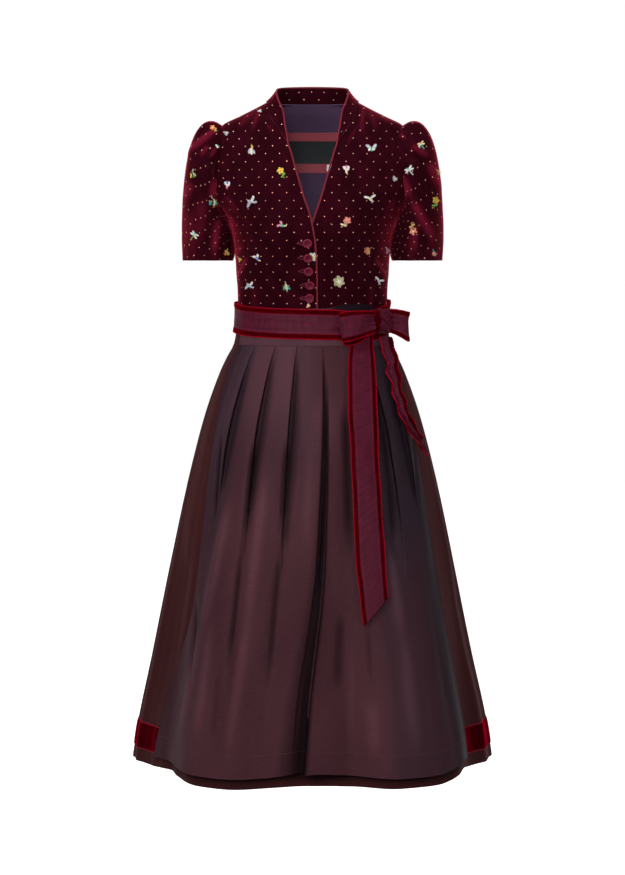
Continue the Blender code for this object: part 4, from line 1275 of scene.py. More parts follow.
@dataclass(frozen=True)
class BodiceCut:
    """Where the bodice's panels end."""

    neck_z: float = 20.6
    back_neck_z: float = 18.4
    shoulder_z: float = -22
    underarm_z: float = -201
    low_z: float = -371.8
    turn_z: float = -160
    tip_z: float = -194
    tip_x: float = 3
    collar_end_z: float = -57
    side_gap: float = -0.5
    seam: float = 0.35
    piping: float = 1.5
    velvet: float = 1.8
    lap_x: float = -14
    lap_full_z: float = -242
    lap_drop: float = 3.4
    lap_step: tuple[float, float] = (10.8, 16.5)
    roundness: float = 2.3
    armhole_back: float = 50
    armhole_right: float = 46
    armhole_left: float = 58
    neckline: tuple[EdgeRow, ...] = (
        EdgeRow(20.6, 80.8), EdgeRow(8, 81.8), EdgeRow(-4, 80), EdgeRow(-20, 71), EdgeRow(-40, 57),
        EdgeRow(-58, 45), EdgeRow(-112, 28.5), EdgeRow(-160, 14.5), EdgeRow(-194, 3),
    )
    opening: tuple[EdgeRow, ...] = (
        EdgeRow(-160, -14.5), EdgeRow(-194, -3), EdgeRow(-223, 2.6), EdgeRow(-237, 5), EdgeRow(-257, 6.4),
        EdgeRow(-313, 8.6), EdgeRow(-372, 8.6),
    )
    neckline_x: Curve = field(init=False)
    opening_x: Curve = field(init=False)

    def __post_init__(self) -> None:
        """Turns the tables into curves."""
        object.__setattr__(self, "neckline_x", curves(self.neckline)["x"])
        object.__setattr__(self, "opening_x", curves(self.opening)["x"])

    def levels(self, step: float = 2.6) -> np.ndarray:
        """The bodice's rows, close together where the armhole turns."""
        count = int((self.neck_z - self.low_z) / step)
        fine = [np.linspace(self.underarm_z - 2, self.underarm_z + 12, 15)]
        fine.append(np.linspace(self.shoulder_z - 8, self.shoulder_z + 1, 12))
        exact = [self.tip_z, self.turn_z, self.collar_end_z]
        return np.unique(np.concatenate((np.linspace(self.low_z, self.neck_z, count), *fine, exact)))

    def armhole_angle(self, z: np.ndarray, side: Side, front: bool) -> np.ndarray:
        """Where the armhole's edge is, as an angle past the centre front or back."""
        half = self.armhole_back
        if front:
            half = self.armhole_right if side is Side.RIGHT else self.armhole_left
        middle = (self.shoulder_z + self.underarm_z) / 2
        away = np.clip(np.abs(z - middle) / (self.shoulder_z - middle), 0, 1)
        share = (1 - away**self.roundness) ** (1 / self.roundness)
        depth = FORM.torso_at["front" if front else "back"](z)
        return np.degrees(np.arccos(half * share / depth))

    def front_grid(self, side: Side, columns: int = 76) -> tuple[np.ndarray, np.ndarray]:
        """The angles and heights of a front panel's points."""
        z = self.levels()
        outer = side.value * (self.armhole_angle(z, side, True) - self.side_gap)
        beside = np.where(z < self.collar_end_z, self.piping + self.seam, 0.0)
        inner_x = side.value * (self.neckline_x(z) + beside)
        if side is Side.RIGHT:
            inner_x = np.where(z < self.turn_z, self.opening_x(z) - beside, inner_x)
            keys = [FORM.torso_angle(inner_x, z), outer]
            counts = [columns]
        else:
            under = np.clip((self.tip_z - z) / (self.tip_z - self.lap_full_z), 0, 1)
            start = self.tip_x + beside
            inner_x = np.where(z > self.tip_z, inner_x, start + (self.lap_x - start) * under)
            step = [np.maximum(x, inner_x + shift) for x, shift in zip(self.lap_step, (0.5, 1.5))]
            keys = [FORM.torso_angle(x, z) for x in (inner_x, *step)] + [outer]
            counts = [10, 5, columns - 15]
        parts = [
            start[:, None] + (end - start)[:, None] * np.linspace(0, 1, count, endpoint=False)
            for start, end, count in zip(keys, keys[1:], counts)
        ]
        angle = np.concatenate((*parts, keys[-1][:, None]), axis=1)
        angle = angle[:, ::side.value]
        return angle, np.broadcast_to(z[:, None], angle.shape)

    def lap(self, angle: np.ndarray, z: np.ndarray) -> np.ndarray:
        """How far the left front lies below the right one's surface."""
        start, end = self.lap_step
        x = FORM.smooth_torso(angle, z)[..., 0]
        return np.where(z > self.tip_z, 0.0, -self.lap_drop * np.clip((end - x) / (end - start), 0, 1))

    def back_grid(self, columns: int = 90, widest: float = 1.0) -> tuple[np.ndarray, np.ndarray]:
        """The angles and heights of the back's points."""
        z = self.levels()
        start = 180 - self.armhole_angle(z, Side.LEFT, False) + self.side_gap
        share = np.linspace(-widest, widest, columns)
        angle = 180 + (180 - start)[:, None] * share
        rise = (self.back_neck_z - self.neck_z) * np.sqrt(np.abs(np.sin(np.radians(angle - 90))))
        z = z[:, None] + rise * ease(z, 4, self.neck_z)[:, None]
        return angle, z


@dataclass
class Bodice:
    """The velvet fronts and back, the lining and the tapes inside the neck."""

    cut: BodiceCut
    finishes: Finishes
    lattice_z: float = -276.8
    lattice_right: float = -7.1
    lattice_left: float = 21.5
    lining_share: float = 0.72
    lining_rise: float = 3.7

    def cloth(self, angle: np.ndarray, z: np.ndarray, centre: float, start: float) -> np.ndarray:
        """The cloth's coordinates, counted from a dot."""
        surface = lambda share, level: FORM.smooth_torso(share + centre, level)
        along = FORM.arc(surface, angle - centre, z)
        return np.stack((along - start, z - self.lattice_z), -1) * MM

    def make_front(self, side: Side) -> None:
        """One front panel."""
        angle, z = self.cut.front_grid(side)
        lift = self.cut.lap(angle, z) if side is Side.LEFT else np.zeros_like(z)
        word = side.name.lower()
        start = self.lattice_left if side is Side.LEFT else self.lattice_right
        # The ridges of the darts and folds carry a painted highlight.
        Sheet(
            f"velvet_front_{word}",
            FORM.on_torso(angle, z, lift),
            self.cut.velvet,
            self.cloth(angle, z, 0, start),
            self.finishes.velvet,
            "bodice_velvet",
            (f"bodice_front_{word}",),
            flat=(0.24, 0.41),
            area=0.072,
            held=Held.STRETCHED,
            rests_on=("velvet_back",),
            pile=crest(FORM.creasing(angle, z), 2.4),
        ).make()

    def make_back(self) -> None:
        """The back, its lining, and the tapes and label inside it."""
        angle, z = self.cut.back_grid()
        outer = FORM.on_torso(angle, z, 0)
        uv = self.cloth(angle, z, 180, 0)
        # The ridges of the darts and folds carry a painted highlight.
        Sheet(
            "velvet_back", outer, self.cut.velvet, uv, self.finishes.velvet, "bodice_velvet",
            ("bodice_back",), flat=(0.44, 0.41), area=0.148, held=Held.STRETCHED,
            pile=crest(FORM.creasing(angle, z), 2.4),
        ).make()
        angle, z = self.cut.back_grid(60, self.lining_share)
        outer = FORM.on_torso(angle, z, -self.cut.velvet - 1.5)
        outer[..., 2] += self.lining_rise * ease(z, 2, 18)
        uv = self.cloth(angle, z, 180, 0)
        Sheet(
            "plum_back_lining", outer, 1.0, uv, self.finishes.lining, "lining",
            ("lining_back",), flat=(0.32, 0.39), area=0.103, held=Held.STRETCHED, rests_on=("velvet_back",),
        ).make()

    def make_tape(self, name: str, node: str, spot: tuple[float, float, float, float], depth: float,
                  finish: bpy.types.Material, slot: str) -> None:
        """A flat tape on the inside of the back.

        Args:
            name: The piece's name.
            node: The solid that it stands for.
            spot: Its lowest and highest levels, its middle and its half width.
            depth: How far it lies inside the bodice's surface.
            finish: Its material.
            slot: Its material slot.
        """
        low, high, middle, half = spot
        x, z = grid(np.linspace(low, high, 16), np.linspace(half, -half, 60) + middle)
        angle = 180 - FORM.torso_angle(x, z)
        outer = FORM.on_torso(angle, z, -depth)
        uv = np.stack((x, z), -1) * MM
        Sheet(
            name, outer, 0.9, uv, finish, slot, (node,),
            flat=(2 * half * MM, (high - low) * MM), held=Held.LAID, rests_on=("plum_back_lining",),
        ).make()

    def make(self) -> None:
        """Makes the bodice."""
        for side in Side:
            self.make_front(side)
        self.make_back()
        self.make_tape(
            "dotted_backing_band", "backing_band", (-104, -28, 0, 66), 6.2, self.finishes.tape,
            "backing_tape",
        )
        self.make_tape("bare_neck_label", "neck_label", (-86, -43, 0, 52), 8.15, self.finishes.label, "label")
        self.make_tape(
            "white_size_tab", "size_tab", (-99.5, -87.5, 32.8, 5.0), 8.15, self.finishes.tab, "tab",
        )


class CollarRow(NamedTuple):
    """The collar's top edge, by the share of the way from the centre back to the front end."""

    share: float
    x: float
    y: float
    z: float


@dataclass
class Collar:
    """The stand collar, which tapers into the neckline."""

    cut: BodiceCut
    finishes: Finishes
    shoulder: float = 0.52
    end_y: float = -93
    taper_z: float = -40
    taper_length: float = 20
    clear: float = 0.55
    wall: float = 2
    bulge: float = 1.1
    top: tuple[CollarRow, ...] = (
        CollarRow(0, 0, 49, 49.6), CollarRow(0.2, 34.5, 44, 48.8), CollarRow(0.38, 57, 29, 46.4),
        CollarRow(0.52, 65.8, 6, 42), CollarRow(0.62, 66.2, -15, 35.6), CollarRow(0.72, 62.6, -38, 20),
        CollarRow(0.82, 54.4, -56.5, -2.4), CollarRow(0.91, 51, -74, -27), CollarRow(1, 46.5, -87.5, -49),
    )

    def left_half(self) -> tuple[Points, Points]:
        """The lower and upper edge from the centre back to the left front end."""
        cut = self.cut
        angle = np.linspace(180, 91, 36)
        z = cut.neck_z + (cut.back_neck_z - cut.neck_z) * np.sqrt(np.abs(np.cos(np.radians(angle))))
        back = FORM.torso(angle, z) + (0, 0, self.clear)
        levels = np.linspace(cut.neck_z, cut.collar_end_z, 54)
        inset = (cut.piping + cut.seam) * np.maximum(0, (self.taper_z - levels) / self.taper_length)
        x = cut.neckline_x(levels) + inset - self.clear
        front = FORM.torso(FORM.torso_angle(x, levels), levels)
        front[0, 2] += self.clear
        share = np.concatenate((
            self.shoulder * (180 - angle) / 90,
            self.shoulder + (1 - self.shoulder) * front[:, 1] / self.end_y,
        )).clip(0, 1)
        at = curves(self.top)
        crown = np.stack([at[name](share) for name in ("x", "y", "z")], -1)
        return np.concatenate((back, front)), crown

    def edges(self) -> tuple[Points, Points, Points]:
        """The lower edge, upper edge and outward direction, from right to left."""
        lower, upper = (
            np.concatenate((half[::-1] * (-1, 1, 1), half[1:])) for half in self.left_half()
        )
        wide = np.gradient(lower, axis=0) + np.gradient(upper, axis=0)
        return lower, upper, unit(np.cross(wide, upper - lower))

    def make(self) -> None:
        """Makes the collar."""
        lower, upper, out = self.edges()
        share = np.linspace(0, 1, 14)[:, None, None]
        outer = lower + (upper - lower) * share + out * self.bulge * np.sin(pi * share)
        along = np.concatenate(([0], np.cumsum(np.linalg.norm(np.diff(upper + lower, axis=0), axis=1) / 2)))
        rise = np.linalg.norm(upper - lower, axis=1) * share[..., 0]
        uv = np.stack((np.broadcast_to(along, rise.shape) + 6, rise + 4), -1) * MM
        Sheet(
            "stand_collar", outer, self.wall, uv, self.finishes.velvet, "bodice_velvet", ("collar",),
            flat=(0.44, 0.062), area=0.0152, held=Held.STRETCHED, rests_on=("velvet_back",),
            normals=np.broadcast_to(out, outer.shape),
        ).make()


@dataclass
class Piping:
    """The cord round the collar, down the neckline and along the opening."""

    cut: BodiceCut
    collar: Collar
    finishes: Finishes
    start_right: float = -368
    start_left: float = -208
    clear: float = 1.2
    tuck_depth: float = 3.2

    def edge_path(self, side: Side) -> Points:
        """The cord's middle along one front's edge, from its lower end up to the collar."""
        cut = self.cut
        start = self.start_right if side is Side.RIGHT else self.start_left
        z = np.linspace(start, cut.collar_end_z - 4, int((cut.collar_end_z - start) / 2))
        x = side.value * cut.neckline_x(z)
        below = np.maximum(0, cut.tip_z - z)
        if side is Side.RIGHT:
            x = np.where(z < cut.turn_z, cut.opening_x(z), x)
            below = 0 * below
        x = x - below * (cut.tip_x - cut.lap_x) / (cut.tip_z - cut.lap_full_z)
        angle = FORM.torso_angle(x, z)
        return FORM.smooth_torso(angle, z) + (0, 1, 0) * (self.tuck_depth * ease(below, 0, 10))[:, None]

    def path(self) -> Points:
        """The whole cord's middle."""
        lower, upper, out = self.collar.edges()
        rise = upper - lower
        along = unit(np.gradient(upper, axis=0))
        rise = unit(rise - along * (rise * along).sum(axis=1, keepdims=True))
        crest = (upper + rise * self.clear - out * self.collar.wall / 2)[3:-3]
        line = np.concatenate((self.edge_path(Side.RIGHT), crest, self.edge_path(Side.LEFT)[::-1]))
        return smooth_path(line, 1.6, 3)

    def make(self) -> None:
        """Makes the cord."""
        piece = tube("piped_cord", self.path(), self.cut.piping, 14)
        piece.data.materials.append(self.finishes.piping)
        keep(piece, "piping_cord", ("piping",))


def smooth_path(line: Points, step: float, passes: int) -> Points:
    """The line in equal steps, with its corners rounded."""
    run = np.concatenate(([0], np.cumsum(np.linalg.norm(np.diff(line, axis=0), axis=1))))
    even = np.linspace(0, run[-1], int(run[-1] / step))
    line = np.stack([np.interp(even, run, line[:, axis]) for axis in range(3)], -1)
    for _ in range(passes):
        line[1:-1] = (line[:-2] + 2 * line[1:-1] + line[2:]) / 4
    return line


class Tuck(NamedTuple):
    """A ridge of the sleeve cap, by the turn round the armhole."""

    angle: float
    reach: float
    rise: float


class Swell(NamedTuple):
    """A pull on the sleeve's curve: everywhere, towards front or back, at the top, at the underarm."""

    all: float
    level: float
    top: float
    bottom: float

    def at(self, top: np.ndarray, bottom: np.ndarray, level: np.ndarray) -> np.ndarray:
        """The pull at a place round the ring."""
        return self.all + self.level * level + self.top * top + self.bottom * bottom


@dataclass
class Sleeve:
    """One short puffed sleeve."""

    side: Side
    cut: BodiceCut
    finishes: Finishes
    cuff_centre: tuple[float, float, float] = (192.7, 3, -269.8)
    cuff_half: tuple[float, float] = (46.6, 56)
    out_x: Swell = Swell(24, 0, 26, -26)
    out_y: float = -34
    out_z: Swell = Swell(0, -8, 35, -14)
    up_x: Swell = Swell(0, 0, 8, -9.5)
    up_y: float = -9
    up_z: Swell = Swell(-2, 84, 196, 20)
    tucks: tuple[Tuck, ...] = (
        Tuck(-62, 15, 4), Tuck(-34, 13, 5), Tuck(-8, 12, 4), Tuck(20, 12, 4.5), Tuck(46, 13, 5),
        Tuck(72, 14, 4),
    )
    tuck_start: float = 0.06
    tuck_end: float = 0.5
    right_creases: tuple[Crease, ...] = (
        Crease(-173, -29, -231, -77, 6, 3.0), Crease(-188, -62, -207, -82, 5, 2.2),
        Crease(-175, -64, -188, -86, 4, 2.0), Crease(-169, -79, -182, -131, 5, -3.0),
        Crease(-178, -114, -185, -162, 6, 2.6), Crease(-218, -127, -234, -168, 7, 2.2),
        Crease(-200, -150, -206, -262, 12, 1.6), Crease(-170, -190, -182, -262, 8, 2.0),
        Crease(-226, -180, -230, -262, 9, 1.6),
    )
    left_creases: tuple[Crease, ...] = (
        Crease(160, -64, 179, -92, 5, -3.2), Crease(158, -40, 172, -52, 4, 2.0),
        Crease(164, -116, 180, -158, 6, 2.8), Crease(180, -158, 222, -238, 9, 2.6),
        Crease(210, -90, 233, -142, 8, 2.8), Crease(178, -60, 214, -84, 6, 2.4),
        Crease(190, -110, 204, -150, 9, -2.0), Crease(186, -200, 190, -262, 9, 1.8),
        Crease(232, -180, 236, -262, 9, 1.4),
    )
    turn_steps: int = 180
    along_steps: int = 96

    def smooth_surface(self, turn: np.ndarray, along: np.ndarray) -> Points:
        """The sleeve's surface without its small creases.

        Args:
            turn: The turn from the top over the front to the underarm, in degrees.
            along: The share of the way from the armhole to the cuff.

        Returns:
            Points on the sleeve.
        """
        turn, along = np.broadcast_arrays(np.asarray(turn, float), np.asarray(along, float))
        round_ = np.radians(turn)
        cut, sign = self.cut, self.side.value
        middle = (cut.shoulder_z + cut.underarm_z) / 2
        z = middle + (cut.shoulder_z - middle) * np.cos(round_) * 0.9995
        front = turn % 360 <= 180
        angle = np.where(
            front, cut.armhole_angle(z, self.side, True), 180 - cut.armhole_angle(z, self.side, False)
        )
        start = FORM.smooth_torso(sign * angle, z)
        start[..., 0] = np.abs(start[..., 0]) + 0.5
        top, bottom = np.maximum(0, np.cos(round_)), np.maximum(0, -np.cos(round_))
        level = np.abs(np.sin(round_))
        lean = np.sin(round_)
        ring = np.stack((self.cuff_half[0] * np.cos(round_), -self.cuff_half[1] * lean, 0 * round_), -1)
        cuff = np.array(self.cuff_centre) + ring
        out_x, out_z = (pull.at(top, bottom, level) for pull in (self.out_x, self.out_z))
        out = np.stack((out_x, self.out_y * lean, out_z), -1)
        up_x, up_z = self.up_x.at(top, bottom, level), self.up_z.at(top**1.5, bottom, level)
        up = np.stack((up_x, self.up_y * lean, up_z), -1)
        t = along[..., None]
        place = (1 - t) ** 3 * start + 3 * t * (1 - t) ** 2 * (start + out)
        place += 3 * t**2 * (1 - t) * (cuff + up) + t**3 * cuff
        rise = sum(tuck.rise * swell(wrapped(turn - tuck.angle) / tuck.reach) for tuck in self.tucks)
        fade = np.minimum(1, along / self.tuck_start) * np.maximum(0, 1 - along / self.tuck_end)
        outwards = unit(np.stack((0.35 * np.cos(round_) + 0.25, -lean, 0.85 * np.cos(round_)), -1))
        place += outwards * (rise * fade)[..., None]
        place[..., 0] *= sign
        return place

    def normal(self, turn: np.ndarray, along: np.ndarray) -> Points:
        """The direction out of the sleeve."""
        across = self.smooth_surface(turn + 2, along) - self.smooth_surface(turn - 2, along)
        low, high = np.clip(along - 0.015, 0, 1), np.clip(along + 0.015, 0, 1)
        length = self.smooth_surface(turn, high) - self.smooth_surface(turn, low)
        return unit(np.cross(across, length)) * self.side.value

    def surface(self, turn: np.ndarray, along: np.ndarray) -> Points:
        """The sleeve's outer surface with its creases."""
        turn, along = np.broadcast_arrays(np.asarray(turn, float), np.asarray(along, float))
        height = self.heights(turn, along)
        return self.smooth_surface(turn, along) + self.normal(turn, along) * height[..., None]

    def heights(self, turn: np.ndarray, along: np.ndarray) -> np.ndarray:
        """How far the sleeve's creases stand out."""
        place = self.smooth_surface(turn, along)
        creases = self.right_creases if self.side is Side.RIGHT else self.left_creases
        here = ease(-place[..., 1], -12, 12)
        height = FORM.crease_sum(creases, place) * here
        far = FORM.crease_sum(creases[::2], place) * (1 - here)
        wave = 1.1 * np.sin(np.radians(turn * 7 + 60 * along)) * ease(along, 0.6, 0.98)
        return (1.25 * height + 0.7 * far + wave) * ease(along, 0, 0.05)

    def make(self) -> None:
        """Makes the sleeve."""
        word = self.side.name.lower()
        along = np.linspace(0, 1, self.along_steps) ** 0.92
        turn = -np.arange(self.turn_steps) * 360 / self.turn_steps * self.side.value
        turn, along = grid(along[::-1], turn)
        outer = self.surface(turn, along)
        length = np.linalg.norm(np.diff(outer, axis=0), axis=2).mean(axis=1)
        down = -np.concatenate(([0], np.cumsum(length)))[::-1]
        girth = np.linalg.norm(np.diff(outer, axis=1), axis=2).sum(axis=1)
        girth = 0.5 * girth + 0.5 * girth.mean()
        around = np.linspace(-0.5, 0.5, self.turn_steps + 1) * girth[:, None]
        uv = np.stack((around, np.broadcast_to(-down[::-1, None], around.shape)), -1) * MM
        # The ridges of the creases carry a painted highlight.
        Sheet(
            f"puff_sleeve_{word}", outer, self.cut.velvet, uv, self.finishes.sleeve_velvet, "bodice_velvet",
            (f"sleeve_{word}",), flat=(0.4, 0.27), area=0.08, held=Held.GATHERED,
            rests_on=(f"velvet_front_{word}",), lining=self.finishes.lining, ring=True,
            pile=crest(self.heights(turn, along), 3.0),
        ).make()


class ButtonSpot(NamedTuple):
    """A button's middle."""

    x: float
    z: float


@dataclass
class Buttons:
    """Five round buttons with a raised rim and a dished middle."""

    finishes: Finishes
    radius: float = 8.2
    thick: float = 3.4
    clear: float = 0.9
    sides: int = 48
    merge: float = 0.04
    spots: tuple[ButtonSpot, ...] = (
        ButtonSpot(-9.6, -239.2), ButtonSpot(-7.9, -265.2), ButtonSpot(-7.2, -289.3),
        ButtonSpot(-4.6, -314.2), ButtonSpot(-5.2, -338.1),
    )
    profile: tuple[tuple[float, float], ...] = (
        (0.0, 0.0),
        (0.0, 0.7),
        (0.12, 0.86),
        (0.3, 0.95),
        (0.52, 1.0),
        (0.74, 0.99),
        (0.9, 0.94),
        (1.0, 0.86),
        (0.99, 0.77),
        (0.9, 0.7),
        (0.66, 0.63),
        (0.42, 0.54),
        (0.28, 0.36),
        (0.24, 0.0),
    )

    def make(self) -> None:
        """Makes the buttons."""
        for number, spot in enumerate(self.spots, 1):
            angle = FORM.torso_angle(spot.x, spot.z)
            out = FORM.normal(FORM.smooth_torso, angle, np.array(spot.z))
            seat = FORM.torso(angle, np.array(spot.z)) + out * self.clear
            side = unit(np.cross(out, (0, 0, 1)))
            up = np.cross(side, out)
            height, radius = np.array(self.profile).T
            turn = np.arange(self.sides) * tau / self.sides
            ring = side * np.cos(turn)[:, None] + up * np.sin(turn)[:, None]
            points = (
                seat
                + out * (height * self.thick)[:, None, None]
                + ring * (np.maximum(radius, 0.002) * self.radius)[:, None, None]
            )
            count = len(self.profile)
            index = np.arange(count * self.sides).reshape(count, self.sides)
            index = np.concatenate((index, index[:, :1]), axis=1)
            faces = quads(index)
            piece = write_mesh(f"turned_button_{number}", points, faces)
            # Painted shade in the dish, darker where it is deeper.
            dish = np.where(np.arange(count) > 7, 0.25 + 0.75 * (1 - height), 0)
            layer = piece.data.attributes.new(PAINTED_LIGHT, "FLOAT", "POINT")
            layer.data.foreach_set("value", np.repeat(dish, self.sides).astype(np.float32))
            close(piece, merge=self.merge * MM)
            piece.data.materials.append(self.finishes.button)
            keep(piece, "button", (f"button_{number}",))


@dataclass
class Skirt:
    """The pleated skirt and its velvet hem band."""

    finishes: Finishes
    top_z: float = -372.4
    hem_z: float = -1202.5
    band_top: float = -1128.5
    band_bottom: float = -1178.5
    pleats: int = 30
    pleat_reach: float = 6.2
    front_share: float = 0.16
    front_angles: tuple[float, float] = (74, 100)
    wall: float = 1.4
    band_wall: float = 1.3
    seam: float = 0.35
    columns: int = 300
    front_creases: tuple[Crease, ...] = (
        Crease(-236, -810, -268, -980, 12, -5.0), Crease(-262, -940, -296, -1100, 12, -4.0),
        Crease(-222, -620, -240, -800, 9, 2.4), Crease(236, -640, 262, -860, 10, 2.6),
        Crease(268, -860, 300, -1080, 11, -3.2),
    )

    def lift(self, angle: np.ndarray, z: np.ndarray) -> np.ndarray:
        """How far the skirt lies out of its form."""
        start, end = self.front_angles
        share = np.clip((np.abs(wrapped(angle)) - start) / (end - start), 0, 1)
        share = self.front_share + (1 - self.front_share) * share
        rise = np.zeros_like(angle)
        for k in range(self.pleats):
            middle = 360 / self.pleats * k + 2.4 * sin(2.4 * k)
            rise += (0.8 + 0.2 * cos(1.7 * k)) * swell(wrapped(angle - middle) / self.pleat_reach)
        return FORM.swing(angle, z) + share * FORM.skirt_at["pleat"](z) * rise

    def creased(self, angle: np.ndarray, z: np.ndarray) -> np.ndarray:
        """The same with the folds that hang at the sides."""
        place = FORM.skirt(angle, z)
        height = FORM.crease_sum(self.front_creases, place)
        front = ease(np.cos(np.radians(angle)), -0.1, 0.1)
        ripple = 0.8 * np.sin(np.radians(angle * 9 + z * 0.6)) * ease(-z, 480, 900)
        return self.lift(angle, z) + height * front + ripple

    @staticmethod
    def covered(angle: np.ndarray, z: np.ndarray) -> np.ndarray:
        """The painted shadow on the skirt under the apron's hem, from 0 to 1."""
        under = ease(-z, 1150, 1174) * (1 - 0.85 * ease(-z, 1184, 1197))
        return under * (1 - ease(np.abs(wrapped(angle)), 50, 60)) * 0.85

    def make(self) -> None:
        """Makes both halves and their bands."""
        levels = np.concatenate((
            np.linspace(self.hem_z, self.band_top, 12)[:-1],
            np.linspace(self.band_top, self.top_z, 90),
        ))
        for word, first in (("front", -90), ("back", 90)):
            columns = np.linspace(first + 0.01, first + 179.99, self.columns)
            angle, z = grid(levels, columns)
            along = FORM.arc(lambda a, level: FORM.skirt(a + first + 90, level), angle - first - 90, z)
            uv = np.stack((along * 1.3, z), -1) * MM
            # The front carries a painted shadow under the apron's hem.
            Sheet(
                f"pleated_skirt_{word}", FORM.on_skirt(angle, z, self.creased(angle, z)), self.wall, uv,
                self.finishes.twill, "skirt_cloth", (f"skirt_{word}",), flat=(0.98, 0.83), area=0.65,
                held=Held.GATHERED, rests_on=(f"velvet_{'front_right' if first < 0 else 'back'}",),
                lining=self.finishes.skirt_lining, pile=self.covered(angle, z),
            ).make()
            angle, z = grid(np.linspace(self.band_bottom, self.band_top, 18), columns)
            share = (z - self.band_bottom) / (self.band_top - self.band_bottom)
            round_ = 0.9 * (1 - (2 * share - 1) ** 4)
            lift = self.creased(angle, z) + self.seam + self.band_wall - 0.5 + round_
            outer = FORM.on_skirt(angle, z, lift)
            middle = (self.band_top + self.band_bottom) / 2
            uv = np.stack((along[:1] + 0 * z, z - middle), -1) * MM
            # The band carries a painted highlight along its top and bottom edges.
            Sheet(
                f"velvet_hem_band_{word}", outer, self.band_wall, uv, self.finishes.hem, "hem_velvet",
                (f"hem_band_{word}",), flat=(0.98, 0.052), held=Held.GATHERED,
                rests_on=(f"pleated_skirt_{word}",), pile=ease(np.abs(2 * share - 1), 0.9, 0.99),
            ).make()


class ApronEdge(NamedTuple):
    """Where the apron's sides are, as angles."""

    z: float
    right: float
    left: float


class Clear(NamedTuple):
    """How far the apron lies off the skirt."""

    z: float
    gap: float


class Fold(NamedTuple):
    """A knife pleat.

    Its edge at the waistband and at the hem, its slopes, its rise at five heights, how far its painted shadow
    reaches, whether the cloth dips beside it, and how far its lower end turns aside.
    """

    top: float
    hem: float
    left_reach: float
    right_reach: float
    rise: tuple[float, float, float, float, float]
    shadow: float
    dips: bool = False
    bend: float = 0.0

    def edge(self, down: np.ndarray) -> np.ndarray:
        """The angle of its edge at a share of the way down."""
        return self.top + (self.hem - self.top) * down + self.bend * ease(down, 0.5, 0.85)

    def height(self, z: np.ndarray, heights: Sequence[float]) -> np.ndarray:
        """How far the pleat stands out at each height."""
        return Curve.through(zip(heights, self.rise))(z)


class UndercutRow(NamedTuple):
    """How far a pleat's cloth goes back under its edge."""

    z: float
    reach: float


class Band(NamedTuple):
    """A broad band of painted shade on the apron, and likewise of its painted blue sheen.

    How strong it is, the angles it grows between, how much of it fades, and the depths below the
    shoulders that it fades between.
    """

    strength: float
    start: float
    end: float
    fade: float = 0.0
    high: float = 0.0
    low: float = 1.0

    def at(self, angle: np.ndarray, z: np.ndarray) -> np.ndarray:
        """Its strength at each place."""
        faded = 1 - self.fade * ease(-z, self.high, self.low)
        return self.strength * ease(angle, self.start, self.end) * faded


